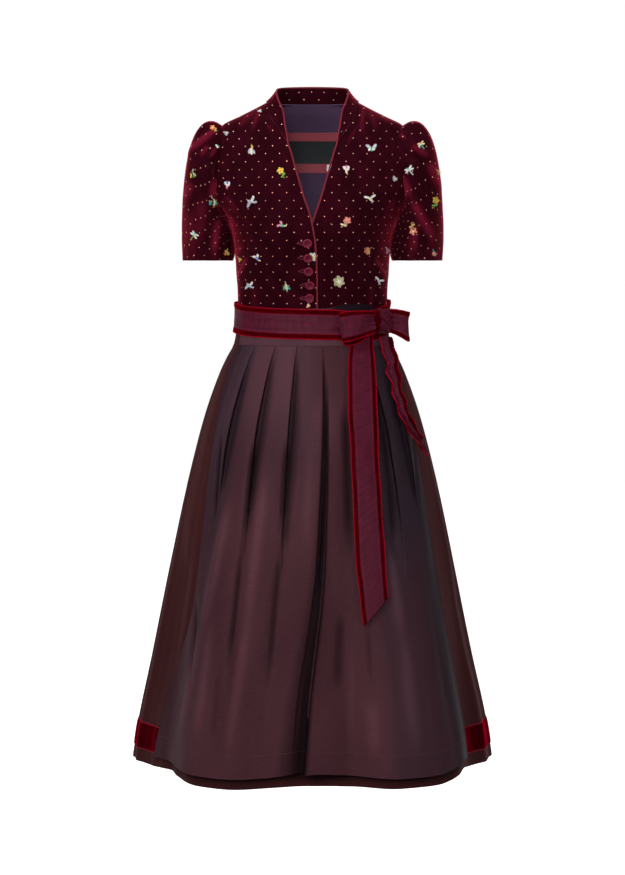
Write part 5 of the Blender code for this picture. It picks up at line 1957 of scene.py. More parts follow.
@dataclass
class Apron:
    """The taffeta apron in knife pleats, and its waistband."""

    finishes: Finishes
    top_z: float = -424.6
    hem_z: float = -1183
    wall: float = 1.1
    thin: float = 0.5
    edges: tuple[ApronEdge, ...] = (
        ApronEdge(-424, -66.5, 71), ApronEdge(-470, -64, 66.5), ApronEdge(-600, -58.5, 60),
        ApronEdge(-737, -54.5, 60), ApronEdge(-886, -53, 59.5), ApronEdge(-991, -58.4, 60),
        ApronEdge(-1090, -64, 60.8), ApronEdge(-1183, -67, 59.8),
    )
    clear: tuple[Clear, ...] = (Clear(-424, 3.0), Clear(-520, 4.4), Clear(-680, 6.0), Clear(-1200, 9.0))
    fold_heights: tuple[float, ...] = (-424, -600, -740, -880, -1178)
    folds: tuple[Fold, ...] = (
        Fold(-44.5, -43, 14, 3.2, (2.4, 11, 1, 0, 0), 4.5),
        Fold(-27.2, -28, 14, 3.0, (2.4, 15, 5, 0, 0), 5),
        Fold(-11, -13.5, 13, 3.4, (2.4, 15, 7, 0.4, 0), 6),
        Fold(6.9, -3.6, 13, 1.5, (2.4, 14, 11, 6, 0.5), 3, bend=-3.4),
        Fold(9.4, 0.2, 1.5, 13, (1.6, 8, 13, 19, 28), 9, True, bend=-2.6),
        Fold(23, 22, 2.6, 12, (2.4, 12, 5, 0, 0), 4),
        Fold(38.3, 37, 2.8, 11, (2.4, 14, 5, 0, 0), 5),
        Fold(51.5, 49, 2.6, 10, (2.4, 11, 3, 0, 0), 4),
    )
    valley: tuple[Clear, ...] = (Clear(-424, 0), Clear(-620, 0), Clear(-760, 2), Clear(-1200, 3.4))
    valley_reach: float = 6.5
    # How dark the painted shadow beside a pleat's edge gets.
    fold_dark: float = 0.97
    undercut: tuple[UndercutRow, ...] = (
        UndercutRow(-424, 5), UndercutRow(-500, 8), UndercutRow(-640, 6), UndercutRow(-820, 3),
        UndercutRow(-1000, 1), UndercutRow(-1100, 0),
    )
    creases: tuple[Crease, ...] = (
        Crease(-98, -583, -120, -808, 6.5, -4.4), Crease(-119, -773, -142, -1030, 7.5, -4.0),
        Crease(-44, -580, -56, -782, 7, -4.2), Crease(-54, -756, -80, -1072, 8, -3.8),
        Crease(-156, -571, -177, -773, 6, -4.0), Crease(57, -491, 65, -860, 14, -4.0),
        Crease(127, -580, 140, -816, 6, -4.0), Crease(174, -580, 182, -721, 5, -3.0),
        Crease(49, -877, 41, -1064, 14, -3.4), Crease(95, -911, 98, -1047, 5, -3.0),
        Crease(-207, -877, -208, -1047, 5, -4.0), Crease(-154, -979, -165, -1156, 8, -2.4),
        Crease(-89, -1047, -78, -1164, 12, -1.6), Crease(199, -808, 240, -1156, 14, -2.6),
        Crease(-144, -703, -193, -962, 9, 6.0), Crease(-190, -937, -238, -1156, 11, 5.0),
        Crease(-169, -911, -193, -1156, 8, 4.5), Crease(-80, -650, -110, -945, 10, 5.0),
        Crease(-107, -920, -139, -1164, 10, 5.5), Crease(24, -597, 6, -877, 6, 3.6),
        Crease(10, -860, -8, -1148, 6, 3.4), Crease(128, -773, 151, -962, 10, 4.5),
        Crease(151, -945, 170, -1156, 12, 5.0), Crease(-3, -526, -12, -808, 9, 3.0),
        Crease(98, -1047, 104, -1156, 10, 4.0), Crease(66, -945, 69, -1148, 7, 3.0),
    )
    # Broad painted shade towards the sides and between the pleats.
    broad_shade: tuple[Band, ...] = (
        Band(0.5, -50, -60), Band(0.5, 38, 52), Band(0.3, -42, -52, 1, 700, 900),
        Band(0.42, -14, 6, 1, 500, 600), Band(0.24, -16, -6, 1, 640, 800),
        Band(0.4, 21, 27, 1, 560, 760), Band(0.45, 11, 17, 1, 640, 900),
    )
    # Broad painted blue sheen towards both sides.
    cool_side: tuple[Band, ...] = (
        Band(0.9, 20, 28, 0.55, 700, 900), Band(0.8, 42, 52), Band(0.6, -34, -44, 0.6, 620, 860),
    )
    waistband: tuple[float, float] = (-424.2, -357)
    waistband_lift: float = 4.1
    waistband_reach: float = 66
    ramp_columns: int = 16
    rows: int = 150

    def lift(self, angle: np.ndarray, z: np.ndarray) -> np.ndarray:
        """The apron's pleats out of the skirt's form."""
        down = (z - self.top_z) / (self.hem_z - self.top_z)
        rise = np.zeros_like(angle)
        for fold in self.folds:
            away = angle - fold.edge(down)
            reach = np.where(away > 0, fold.right_reach, fold.left_reach)
            rise += fold.height(z, self.fold_heights) * np.maximum(0, 1 - np.abs(away) / reach)
            if fold.dips:
                short = fold.edge(down) - fold.left_reach - angle
                dip = curves(self.valley)["gap"](z)
                rise -= np.where(short > -0.01, dip * swell(short / self.valley_reach), 0.0)
        return FORM.swing(angle, z) + curves(self.clear)["gap"](z) + self.wall + rise

    def shade(self, angle: np.ndarray, z: np.ndarray) -> np.ndarray:
        """How dark the painted shade of the cloth is at each place, from 0 to 1.

        It is painted shadow beside the pleats' edges and in the soft dips, a darker tone lower down that
        spares the ridges, and broad painted shading that the cloth shows from in front, towards the sides and
        between the pleats.
        It belongs to the cloth, so it stays where it is in every view.
        """
        down = (z - self.top_z) / (self.hem_z - self.top_z)
        place = FORM.skirt(angle, z)
        soft = FORM.crease_sum(self.creases, place)
        ridge = np.clip(soft / 4, 0, 1) ** 1.3
        dark = 0.84 * np.clip(-soft / 4, 0, 1)
        dark = np.maximum.reduce([dark, *(band.at(angle, z) for band in self.broad_shade)])
        lower = 0.4 * ease(-z, 480, 640) * (1 - 0.2 * ease(-z, 950, 1100)) * (1 - 0.85 * ridge)
        dark = np.maximum(dark, lower)
        # Painted shadow beside each pleat's edge, on the side where the lower cloth lies.
        for fold in self.folds:
            edge = fold.edge(down)
            away = (angle - edge) * (1 if fold.left_reach > fold.right_reach else -1)
            height = fold.height(z, self.fold_heights)
            reach = fold.shadow * (0.25 + 0.75 * np.clip(height / max(fold.rise), 0, 1))
            here = np.where(away > -0.02, np.exp(-((away / reach) ** 2)), 0.0)
            dark = np.maximum(dark, self.fold_dark * here * ease(height, 0.3, 7))
        return dark

    def cool(self, angle: np.ndarray, z: np.ndarray) -> np.ndarray:
        """How strong the painted blue sheen of the taffeta is at each place, from 0 to 1: towards both sides
        and high up on the wearer's right. It belongs to the cloth too.
        """
        upper_right = 0.28 * (1 - ease(-z, 560, 760)) * (1 - ease(angle, -2, 4))
        return np.maximum.reduce([upper_right, *(band.at(angle, z) for band in self.cool_side)])

    def knots(self, z: np.ndarray) -> list[tuple[np.ndarray, np.ndarray, int, np.ndarray]]:
        """Each pleat's foot and edge from right to left, 1 where the foot comes last, and its height."""
        down = (z - self.top_z) / (self.hem_z - self.top_z)
        found = []
        for fold in self.folds:
            edge = fold.edge(down)
            if fold.left_reach > fold.right_reach:
                found.append([edge, edge + fold.right_reach, 1, fold.height(z, self.fold_heights)])
            else:
                found.append([edge - fold.left_reach, edge, 0, fold.height(z, self.fold_heights)])
        for before, after in zip(found, found[1:]):
            if before[2] and not after[2]:
                middle = (before[1] + after[0]) / 2
                before[1] = np.minimum(before[1], middle - 0.15)
                after[0] = np.maximum(after[0], middle + 0.15)
        return [tuple(knot) for knot in found]

    def turned(
        self, edge: np.ndarray, foot: np.ndarray, z: np.ndarray, height: np.ndarray
    ) -> list[tuple[np.ndarray, np.ndarray]]:
        """The cloth's way from a pleat's edge back under it and out to its foot."""
        high, low = self.lift(edge, z), self.lift(foot, z)
        drop = high - low
        way = np.sign(foot - edge)
        degree = radians(1) * FORM.skirt_at["front"](z) * 1.15
        under = np.minimum(curves(self.undercut)["reach"](z), 1.1 * np.maximum(drop, 0)) / degree
        lip = 0.55 / degree
        folded = [
            (edge + way * lip, high - 0.12 * drop),
            (edge + way * lip * 1.1, high - 0.3 * drop),
            (edge - way * under * 0.45, high - 0.44 * drop),
            (edge - way * under, high - 0.56 * drop),
            (edge - way * under * 0.98, high - 0.72 * drop),
            (edge - way * under * 0.45, low + 0.14 * drop),
            (edge + (foot - edge) * 0.5, low + 0.06 * drop),
        ]
        crisp = ease(height, 0.4, 3.0) * ease(drop, 0.0, 1.0)
        stations = []
        for step, (angle, lift) in enumerate(folded, 1):
            plain = edge + (foot - edge) * step / (len(folded) + 1)
            spread = plain + (angle - plain) * crisp
            stations.append((spread, self.lift(plain, z) * (1 - crisp) + lift * crisp))
        return stations

    def profile(self, z: np.ndarray) -> tuple[np.ndarray, np.ndarray]:
        """The angles and lifts of the panel's points, row by row."""
        sides = curves(self.edges)
        right, left = sides["right"](z), sides["left"](z)
        stations: list[tuple[np.ndarray, np.ndarray]] = []

        def ramp(start: np.ndarray, end: np.ndarray, count: int, last: bool = False) -> None:
            for share in np.linspace(0, 1, count, endpoint=last):
                angle = start + (end - start) * share
                stations.append((angle, self.lift(angle, z)))

        here = right
        for first, second, foot_last, height in self.knots(z):
            ramp(here, first, self.ramp_columns)
            if foot_last:
                stations.append((first, self.lift(first, z)))
                stations += self.turned(first, second, z, height)
            else:
                stations.append((first, self.lift(first, z)))
                stations += self.turned(second, first, z, height)[::-1]
            here = second
        ramp(here, left, 2 * self.ramp_columns, True)
        angle, lift = (np.stack(column, 1) for column in zip(*stations))
        level = z[:, None] + 0 * angle
        place = FORM.skirt(angle, level)
        height = FORM.crease_sum(self.creases, place)
        return angle, lift + height + self.ripple(angle, level)

    @staticmethod
    def ripple(angle: np.ndarray, z: np.ndarray) -> np.ndarray:
        """The fine unevenness of the cloth, which grows down the panel."""
        wide = 0.7 * np.sin(np.radians(angle * 11 + z * 0.5))
        fine = 0.5 * np.sin(np.radians(angle * 23 - z * 0.9))
        return (wide + fine) * ease(-z, 520, 900)

    @staticmethod
    def level(angle: np.ndarray, z: np.ndarray) -> np.ndarray:
        """The height of each place, with the hem drawn up beside the middle pleat."""
        return z + 7 * np.exp(-(((angle - 0.5) / 9) ** 2)) * ease(-z, 1060, 1180)

    def panel(self) -> tuple[Points, np.ndarray, np.ndarray, np.ndarray]:
        """The panel's outer grid, its heights, its painted shade and its painted blue sheen."""
        z = np.linspace(self.hem_z, self.top_z, self.rows)
        angle, lift = self.profile(z)
        level = z[:, None] + 0 * angle
        outer = FORM.on_skirt(angle, self.level(angle, level), lift)
        return outer, z, self.shade(angle, level), self.cool(angle, level)

    def make(self) -> None:
        """Makes the panel and the waistband."""
        outer, z, shade, cool = self.panel()
        along = np.linalg.norm(np.diff(outer[len(z) // 3], axis=0), axis=1)
        along = np.concatenate(([0], np.cumsum(along)))
        uv = np.stack(np.meshgrid(along, z), -1) * MM
        Sheet(
            "knife_pleated_apron", outer, self.thin, uv, self.finishes.taffeta, "apron_taffeta",
            ("apron_panel",), flat=(0.86, 0.79), area=0.52, held=Held.GATHERED,
            rests_on=("apron_belt", "pleated_skirt_front"), pile=shade, shot=cool,
        ).make()
        columns = np.linspace(-self.waistband_reach, self.waistband_reach, 160)
        angle, z = grid(np.linspace(*self.waistband, 24), columns)
        lift = self.waistband_lift + 0.25 * np.sin(np.radians(angle * 13 + z * 5))
        share = (z - self.waistband[0]) / (self.waistband[1] - self.waistband[0])
        z = z + 7.5 * ease(share, 0.5, 1) * ease(angle, 8, 26) * (1 - ease(angle, 44, 56))
        uv = np.stack((FORM.arc(FORM.skirt, angle, z), z), -1) * MM
        # Painted shade on the belt's upper part towards the wearer's left, and painted blue sheen, stronger
        # towards the wearer's left.
        Sheet(
            "apron_belt", FORM.on_skirt(angle, z, lift), 1.2, uv, self.finishes.taffeta, "apron_taffeta",
            ("apron_waistband",), flat=(0.36, 0.068), held=Held.STRETCHED, rests_on=("pleated_skirt_front",),
            pile=0.85 * ease(share, 0.45, 0.7) * ease(angle, 6, 18), shot=0.3 + 0.6 * ease(angle, 20, 28),
        ).make()


class SashRow(NamedTuple):
    """The sash's middle level, by the angle round the waist."""

    angle: float
    z: float


class LoopRow(NamedTuple):
    """A station of a bow loop: its middle and the share of the full width that it has."""

    x: float
    y: float
    z: float
    width: float


class TailRow(NamedTuple):
    """A hanging end's edges and how far it lies off the skirt's form."""

    z: float
    right: float
    left: float
    lift: float


RibbonSurface = Callable[[np.ndarray, np.ndarray], Points]


@dataclass
class RibbonRun:
    """One run of the bordered ribbon: a corded centre with a velvet border along each side."""

    name: str
    nodes: tuple[str, str, str]
    surface: RibbonSurface
    length: float
    finishes: Finishes
    held: Held
    rests_on: tuple[str, ...]
    ring: bool = False
    half: float = 27.5
    border: float = 9.8
    ruffle: float = 0.75
    ruffle_pitch: float = 7.4
    pitch: float = 1.1

    def make(self) -> None:
        """Makes the three strips."""
        inside = self.half - self.border
        self.strip("centre", self.nodes[1], -inside - 1.2, inside + 1.2, 26, False)
        self.strip("upper_border", self.nodes[0], inside, self.half, 12, True)
        self.strip("lower_border", self.nodes[2], -self.half, -inside, 12, True)

    def nap(self, across: np.ndarray) -> np.ndarray:
        """The painted highlight along a border: most along its outer edge, and a little along its inner edge.
        """
        to_edge = (np.abs(across) - self.half + self.border) / self.border
        return ease(to_edge, 0.74, 0.98) + 0.35 * (1 - ease(to_edge, 0.02, 0.14))

    def strip(self, word: str, node: str, low: float, high: float, rows: int, velvet: bool) -> None:
        """Makes one strip.

        Args:
            word: The strip's part of the name.
            node: The solid that it stands for.
            low: Its lower edge, from the ribbon's middle.
            high: Its upper edge.
            rows: How many rows of points lie across it.
            velvet: Whether it is a border.
        """
        pitch = self.pitch if velvet else 2.6
        count = max(12, int(self.length / pitch))
        along = np.arange(count) / count if self.ring else np.linspace(0, 1, count)
        share, across = grid(np.linspace(low, high, rows), along)
        points = self.surface(across, share)
        out = grid_normals(points, self.ring)
        if velvet:
            run = share * round(self.length / self.ruffle_pitch) * tau
            to_edge = (np.abs(across) - self.half + self.border) / self.border
            wave = np.sin(run) + 0.5 * np.sin(run * 0.37 + 1)
            roof = 0.7 * (1 - (2 * to_edge - 1) ** 2)
            points = points + out * (self.ruffle * wave * to_edge**2 * 0.7 + roof + 0.45)[..., None]
        else:
            points = points + out * 0.1
        columns = count + 1 if self.ring else count
        run = np.linspace(0, self.length, columns)
        uv = np.stack(np.meshgrid(run, np.linspace(low, high, rows)), -1) * MM
        finish = self.finishes.border if velvet else self.finishes.ribbon
        # The borders carry a painted highlight along their edges.
        Sheet(
            f"{self.name}_{word}", points + out * 0.45, 1.3 if velvet else 0.9, uv, finish,
            "border_velvet" if velvet else "ribbon_silk", (node,),
            flat=(max(high - low, 10) * MM, self.length * MM), held=self.held, rests_on=self.rests_on,
            ring=self.ring, pile=self.nap(across) if velvet else None,
        ).make()


@dataclass
class Sash:
    """The ribbon round the waist."""

    finishes: Finishes
    lift: float = 4.9
    path: tuple[SashRow, ...] = (
        SashRow(-180, -368), SashRow(-135, -370), SashRow(-90, -374), SashRow(-54, -380.5),
        SashRow(-30, -383.5), SashRow(0, -385.5), SashRow(16, -386.5), SashRow(32, -389.5),
        SashRow(46, -389), SashRow(63, -381), SashRow(90, -371), SashRow(135, -366), SashRow(180, -368),
    )
    wrinkles: tuple[Crease, ...] = (
        Crease(-128, -378, -60, -372, 3.0, 0.9), Crease(-110, -390, -20, -393, 3.2, 0.8),
        Crease(-70, -376, 10, -381, 2.6, 0.7), Crease(20, -396, 96, -380, 3.4, 1.2),
        Crease(40, -376, 98, -374, 3.0, 1.0), Crease(60, -400, 100, -392, 3.0, 1.1),
    )

    def surface(self, across: np.ndarray, share: np.ndarray) -> Points:
        """Points of the ribbon, by the distance across it and the share of the way round."""
        angle = -180 + 360 * share
        z = curves(self.path)["z"](angle) + across
        place = FORM.skirt(angle, z)
        front = ease(-place[..., 1], 0, 30)
        height = FORM.crease_sum(self.wrinkles, place) * front
        height = height + 0.35 * np.sin(np.radians(angle * 11 + across * 4))
        return FORM.on_skirt(angle, z, self.lift + 0.45 + height)

    def make(self) -> None:
        """Makes the sash."""
        RibbonRun(
            "waist_sash", ("sash_border_top", "sash_centre", "sash_border_bottom"), self.surface, 762,
            self.finishes, Held.STRETCHED, ("apron_belt",), ring=True,
        ).make()


@dataclass
class Knot:
    """The knot: the ribbon drawn tight over the bow, with its borders down both sides."""

    finishes: Finishes
    angle: float = 57
    z: float = -380.5
    half: tuple[float, float, float] = (21.5, 9.5, 25)
    sash_lift: float = 4.9
    border_share: float = 0.68
    around: int = 150
    across: int = 90

    def make(self) -> None:
        """Makes the knot."""
        angle, z = np.array(self.angle, float), np.array(self.z, float)
        out = FORM.level_normal(angle, z)
        along = np.array((-out[1], out[0], 0))
        depth = self.sash_lift + 1.75 + self.half[1]
        centre = FORM.skirt(angle, z) + out * depth
        turn = np.arange(self.around) * tau / self.around
        side = np.sin(np.linspace(-pi / 2, pi / 2, self.across)) * 0.998
        across, around = np.meshgrid(side, turn)
        waist = 1 - 0.10 * np.cos(across * pi)
        full = (1 - np.abs(across) ** 3.2) ** (1 / 2.4) * (0.93 + 0.07 * waist)
        slant = around + across * 0.9
        wrinkle = (
            3.4 * np.abs(np.sin(slant * 3.5 + 0.4)) ** 0.7
            + 1.2 * np.sin(slant * 9 + across * 2 + 1)
            + 0.6 * np.sin(slant * 15 - across * 3)
            - 1.6
        )
        inner = ease(1 - np.abs(across), 0.0, 0.35)
        deep = full * self.half[1] + wrinkle * inner * 1.2
        tall = full * (self.half[2] - 3.2 * (1 - np.abs(across)) ** 1.5) + wrinkle * inner * 0.3
        border = ease(np.abs(across), self.border_share - 0.05, self.border_share + 0.02)
        lift = border * full * (0.9 + 0.35 * np.sin(around * 26))
        points = (
            centre
            + along * (across * self.half[0])[..., None]
            + out * ((deep + lift) * np.cos(around))[..., None]
            + np.array((0, 0, 1)) * ((tall + lift) * np.sin(around))[..., None]
        )
        rows, columns = points.shape[:2]
        index = np.arange(rows * columns).reshape(rows, columns)
        index = np.concatenate((index, index[:1]), axis=0)
        faces = quads(index)
        run = np.linspace(0, tau * self.half[2] * 0.8, rows + 1)
        table = np.stack(np.meshgrid(side * 17, run), -1)[..., ::-1] * MM
        place = np.arange(table.shape[0] * table.shape[1]).reshape(table.shape[:2])
        piece = write_mesh("bow_knot", points, faces, table.reshape(-1, 2)[quads(place).reshape(-1)])
        close(piece, holes=True)
        piece.data.materials.append(self.finishes.ribbon)
        piece.data.materials.append(self.finishes.border)
        slots = np.zeros(len(piece.data.polygons), np.int32)
        middle = (np.abs(side[:-1] + side[1:]) / 2 > self.border_share).astype(np.int32)
        slots[:rows * (columns - 1)] = np.tile(middle, rows)
        piece.data.polygons.foreach_set("material_index", slots)
        keep(piece, "ribbon_silk", ("sash_knot",))


@dataclass
class Loop:
    """A bow loop: a ribbon that runs out from the knot, turns and comes back."""

    name: str
    rows: tuple[LoopRow, ...]
    lean: tuple[float, float]
    length: float
    finishes: Finishes
    drop: float = 0.0

    def stations(self, share: np.ndarray) -> tuple[Points, np.ndarray]:
        """The ribbon's middle and its share of the full width, at shares of the way along."""
        table = np.array(self.rows)
        run = np.concatenate(([0], np.cumsum(np.linalg.norm(np.diff(table[:, :3], axis=0), axis=1))))
        run /= run[-1]
        dense = np.linspace(0, 1, 241)
        middle = np.stack([np.interp(dense, run, table[:, axis]) for axis in range(4)], -1)
        for _ in range(14):
            middle[1:-1] = (middle[:-2] + 2 * middle[1:-1] + middle[2:]) / 4
        back = ease(dense, 0.46, 0.62) * (1 - ease(dense, 0.72, 1))
        middle[:, 2] -= self.drop * back
        read = np.stack([np.interp(share, dense, middle[:, axis]) for axis in range(4)], -1)
        return read[..., :3], read[..., 3]

    def surface(self, across: np.ndarray, share: np.ndarray) -> Points:
        """Points of the loop."""
        middle, width = self.stations(share)
        ahead, _ = self.stations(np.clip(share + 0.01, 0, 1))
        behind, _ = self.stations(np.clip(share - 0.01, 0, 1))
        along = ahead - behind
        along[..., 2] = 0
        out = unit(np.stack((along[..., 1], -along[..., 0], 0 * share), -1))
        upright = unit(np.array((*self.lean, 1.0)))
        near = 1 - np.abs(2 * np.clip(share, 0, 1) - 1)
        pinch = (1 - ease(near, 0.0, 0.55)) * (1.5 * np.sin(across * 0.55) + 0.8 * np.sin(across * 1.2 + 2))
        belly = 1.6 * np.sin(pi * (across / 55 + 0.5)) * ease(near, 0.1, 0.5) * -1
        slump = 0.8 * np.sin(share * 19 + across * 0.11)
        return middle + upright * (across * width)[..., None] + out * (pinch + belly + slump)[..., None]

    def make(self) -> None:
        """Makes the loop."""
        nodes = tuple(f"{self.name}_{part}" for part in ("border_top", "centre", "border_bottom"))
        RibbonRun(
            f"bow_{self.name}", nodes, self.surface, self.length, self.finishes, Held.FOLDED, ("bow_knot",),
        ).make()


@dataclass
class Tail:
    """A hanging end of the sash, cut on the slant."""

    name: str
    rows: tuple[TailRow, ...]
    ends: tuple[float, float]
    length: float
    finishes: Finishes
    wave: float = 1.6
    crumple: float = 0.0
    flutter: float = 0.4

    def surface(self, across: np.ndarray, share: np.ndarray) -> Points:
        """Points of the tail, with its outer edge at the highest distance across."""
        at = curves(self.rows)
        top = self.rows[0].z
        side = 0.5 - across / 55
        z = top + (self.ends[0] + (self.ends[1] - self.ends[0]) * side - top) * share
        x = at["right"](z) + (at["left"](z) - at["right"](z)) * side
        loose = ease(share, 0.04, 0.2) * (1 - ease(share, 0.9, 1))
        x = x + self.flutter * loose * (np.sin(share * 37) * (1 - side) + 0.7 * np.sin(share * 29 + 2) * side)
        wave = self.wave * np.sin(share * 13 + across * 0.06) + 0.7 * np.sin(share * 29 + across * 0.1)
        lift = at["lift"](z) + 0.5 + wave * ease(share, 0.05, 0.3)
        lift = lift + self.crumple * (0.5 + 0.5 * np.cos(tau * 2 * across / 55))
        sine = x / (FORM.skirt_at["half_width"](z) + at["lift"](z))
        angle = np.degrees(np.arcsin(np.minimum(sine, 0.9999)))
        return FORM.on_skirt(angle, z, FORM.swing(angle, z) + lift)

    def make(self) -> None:
        """Makes the tail."""
        nodes = tuple(f"{self.name}_{part}" for part in ("border_outer", "centre", "border_inner"))
        RibbonRun(
            f"bow_{self.name}", nodes, self.surface, self.length, self.finishes, Held.HUNG,
            ("knife_pleated_apron", "bow_knot"),
        ).make()


class Bow:
    """The knot with its two loops and two hanging ends."""

    front_rows: tuple[LoopRow, ...] = (
        LoopRow(113.4, -81.5, -381, 0.7), LoopRow(99, -93, -383, 0.82), LoopRow(84, -102, -385.5, 0.92),
        LoopRow(68, -109, -388, 1.0), LoopRow(57, -112, -390, 1.0), LoopRow(52, -109.5, -390.5, 1.0),
        LoopRow(51, -105.5, -390.5, 1.0), LoopRow(55, -102.2, -390, 1.0), LoopRow(68, -98, -388, 1.0),
        LoopRow(84, -91, -385.5, 0.92), LoopRow(99, -83, -383, 0.82), LoopRow(111.4, -78.2, -381, 0.7),
    )
    side_rows: tuple[LoopRow, ...] = (
        LoopRow(141.5, -49.5, -380.5, 0.78), LoopRow(152, -50.5, -382, 0.84), LoopRow(164, -51, -386, 0.94),
        LoopRow(173, -49, -390, 1.0), LoopRow(177, -46, -391, 1.0), LoopRow(177.8, -42.5, -391, 1.0),
        LoopRow(174.5, -39.5, -390.5, 1.0), LoopRow(164, -38.5, -386, 0.94),
        LoopRow(153, -40.5, -382, 0.84), LoopRow(142.5, -44.5, -380.5, 0.78),
    )
    long_rows: tuple[TailRow, ...] = (
        TailRow(-392, 76, 110, 6.6), TailRow(-412, 72, 111.5, 7.2), TailRow(-425, 68.5, 112, 8.2),
        TailRow(-450, 66, 115, 13.5), TailRow(-487, 65, 117, 17.5), TailRow(-592, 68.4, 119.5, 21.5),
        TailRow(-716, 73.8, 122.5, 20.5), TailRow(-807, 78.3, 127.5, 19), TailRow(-919, 89.7, 134, 17.5),
    )
    short_rows: tuple[TailRow, ...] = (
        TailRow(-409, 118.5, 139, 6.6), TailRow(-415, 119.5, 141, 7.6), TailRow(-425, 122, 143.5, 9.5),
        TailRow(-450, 129.5, 150, 11.5), TailRow(-478, 136, 155.5, 14), TailRow(-528, 148, 166.5, 17),
        TailRow(-556, 159, 177, 17.5), TailRow(-588, 179, 196, 16.5), TailRow(-632, 211, 228, 12),
    )

    def __init__(self, finishes: Finishes) -> None:
        """Lays out the bow's parts."""
        self.knot = Knot(finishes)
        self.loops = (
            Loop("loop_front", self.front_rows, (-0.12, 0.06), 140, finishes, drop=9),
            Loop("loop_side", self.side_rows, (0.02, 0.0), 78, finishes),
        )
        self.tails = (
            Tail("tail_long", self.long_rows, (-919, -866), 530, finishes),
            Tail(
                "tail_short", self.short_rows, (-628, -590), 230, finishes,
                wave=1.0, crumple=8.0, flutter=2.6,
            ),
        )

    def make(self) -> None:
        """Makes the bow."""
        self.knot.make()
        for part in self.loops + self.tails:
            part.make()


class Tone(Enum):
    """A thread's colour."""

    WHITE = (0.82, 0.81, 0.76)
    SILVER = (0.5, 0.52, 0.57)
    CREAM = (0.8, 0.68, 0.44)
    GOLD = (0.62, 0.4, 0.12)
    YELLOW = (0.8, 0.6, 0.08)
    ORANGE = (0.82, 0.25, 0.06)
    CORAL = (0.84, 0.3, 0.2)
    PINK = (0.74, 0.25, 0.32)
    TEAL = (0.03, 0.42, 0.34)
    GREEN = (0.17, 0.36, 0.06)
    BLUE = (0.07, 0.15, 0.62)
    BROWN = (0.2, 0.09, 0.04)


class Leaf(NamedTuple):
    """A satin stitched leaf from one point to another, in the colour of that number."""

    x0: float
    y0: float
    x1: float
    y1: float
    width: float
    colour: int


def petals(x: float, y: float, count: int, inner: float, outer: float, width: float, colour: int,
           start: float = 90) -> tuple[Leaf, ...]:
    """Leaves set round a point.

    Args:
        x: The middle's x.
        y: The middle's y.
        count: How many there are.
        inner: How far from the middle they start.
        outer: How far from the middle they end.
        width: Each leaf's width.
        colour: Their colour's number.
        start: The direction of the first, in degrees.

    Returns:
        The leaves.
    """
    turns = [radians(start + 360 * k / count) for k in range(count)]
    return tuple(
        Leaf(x + inner * cos(t), y + inner * sin(t), x + outer * cos(t), y + outer * sin(t), width, colour)
        for t in turns
    )


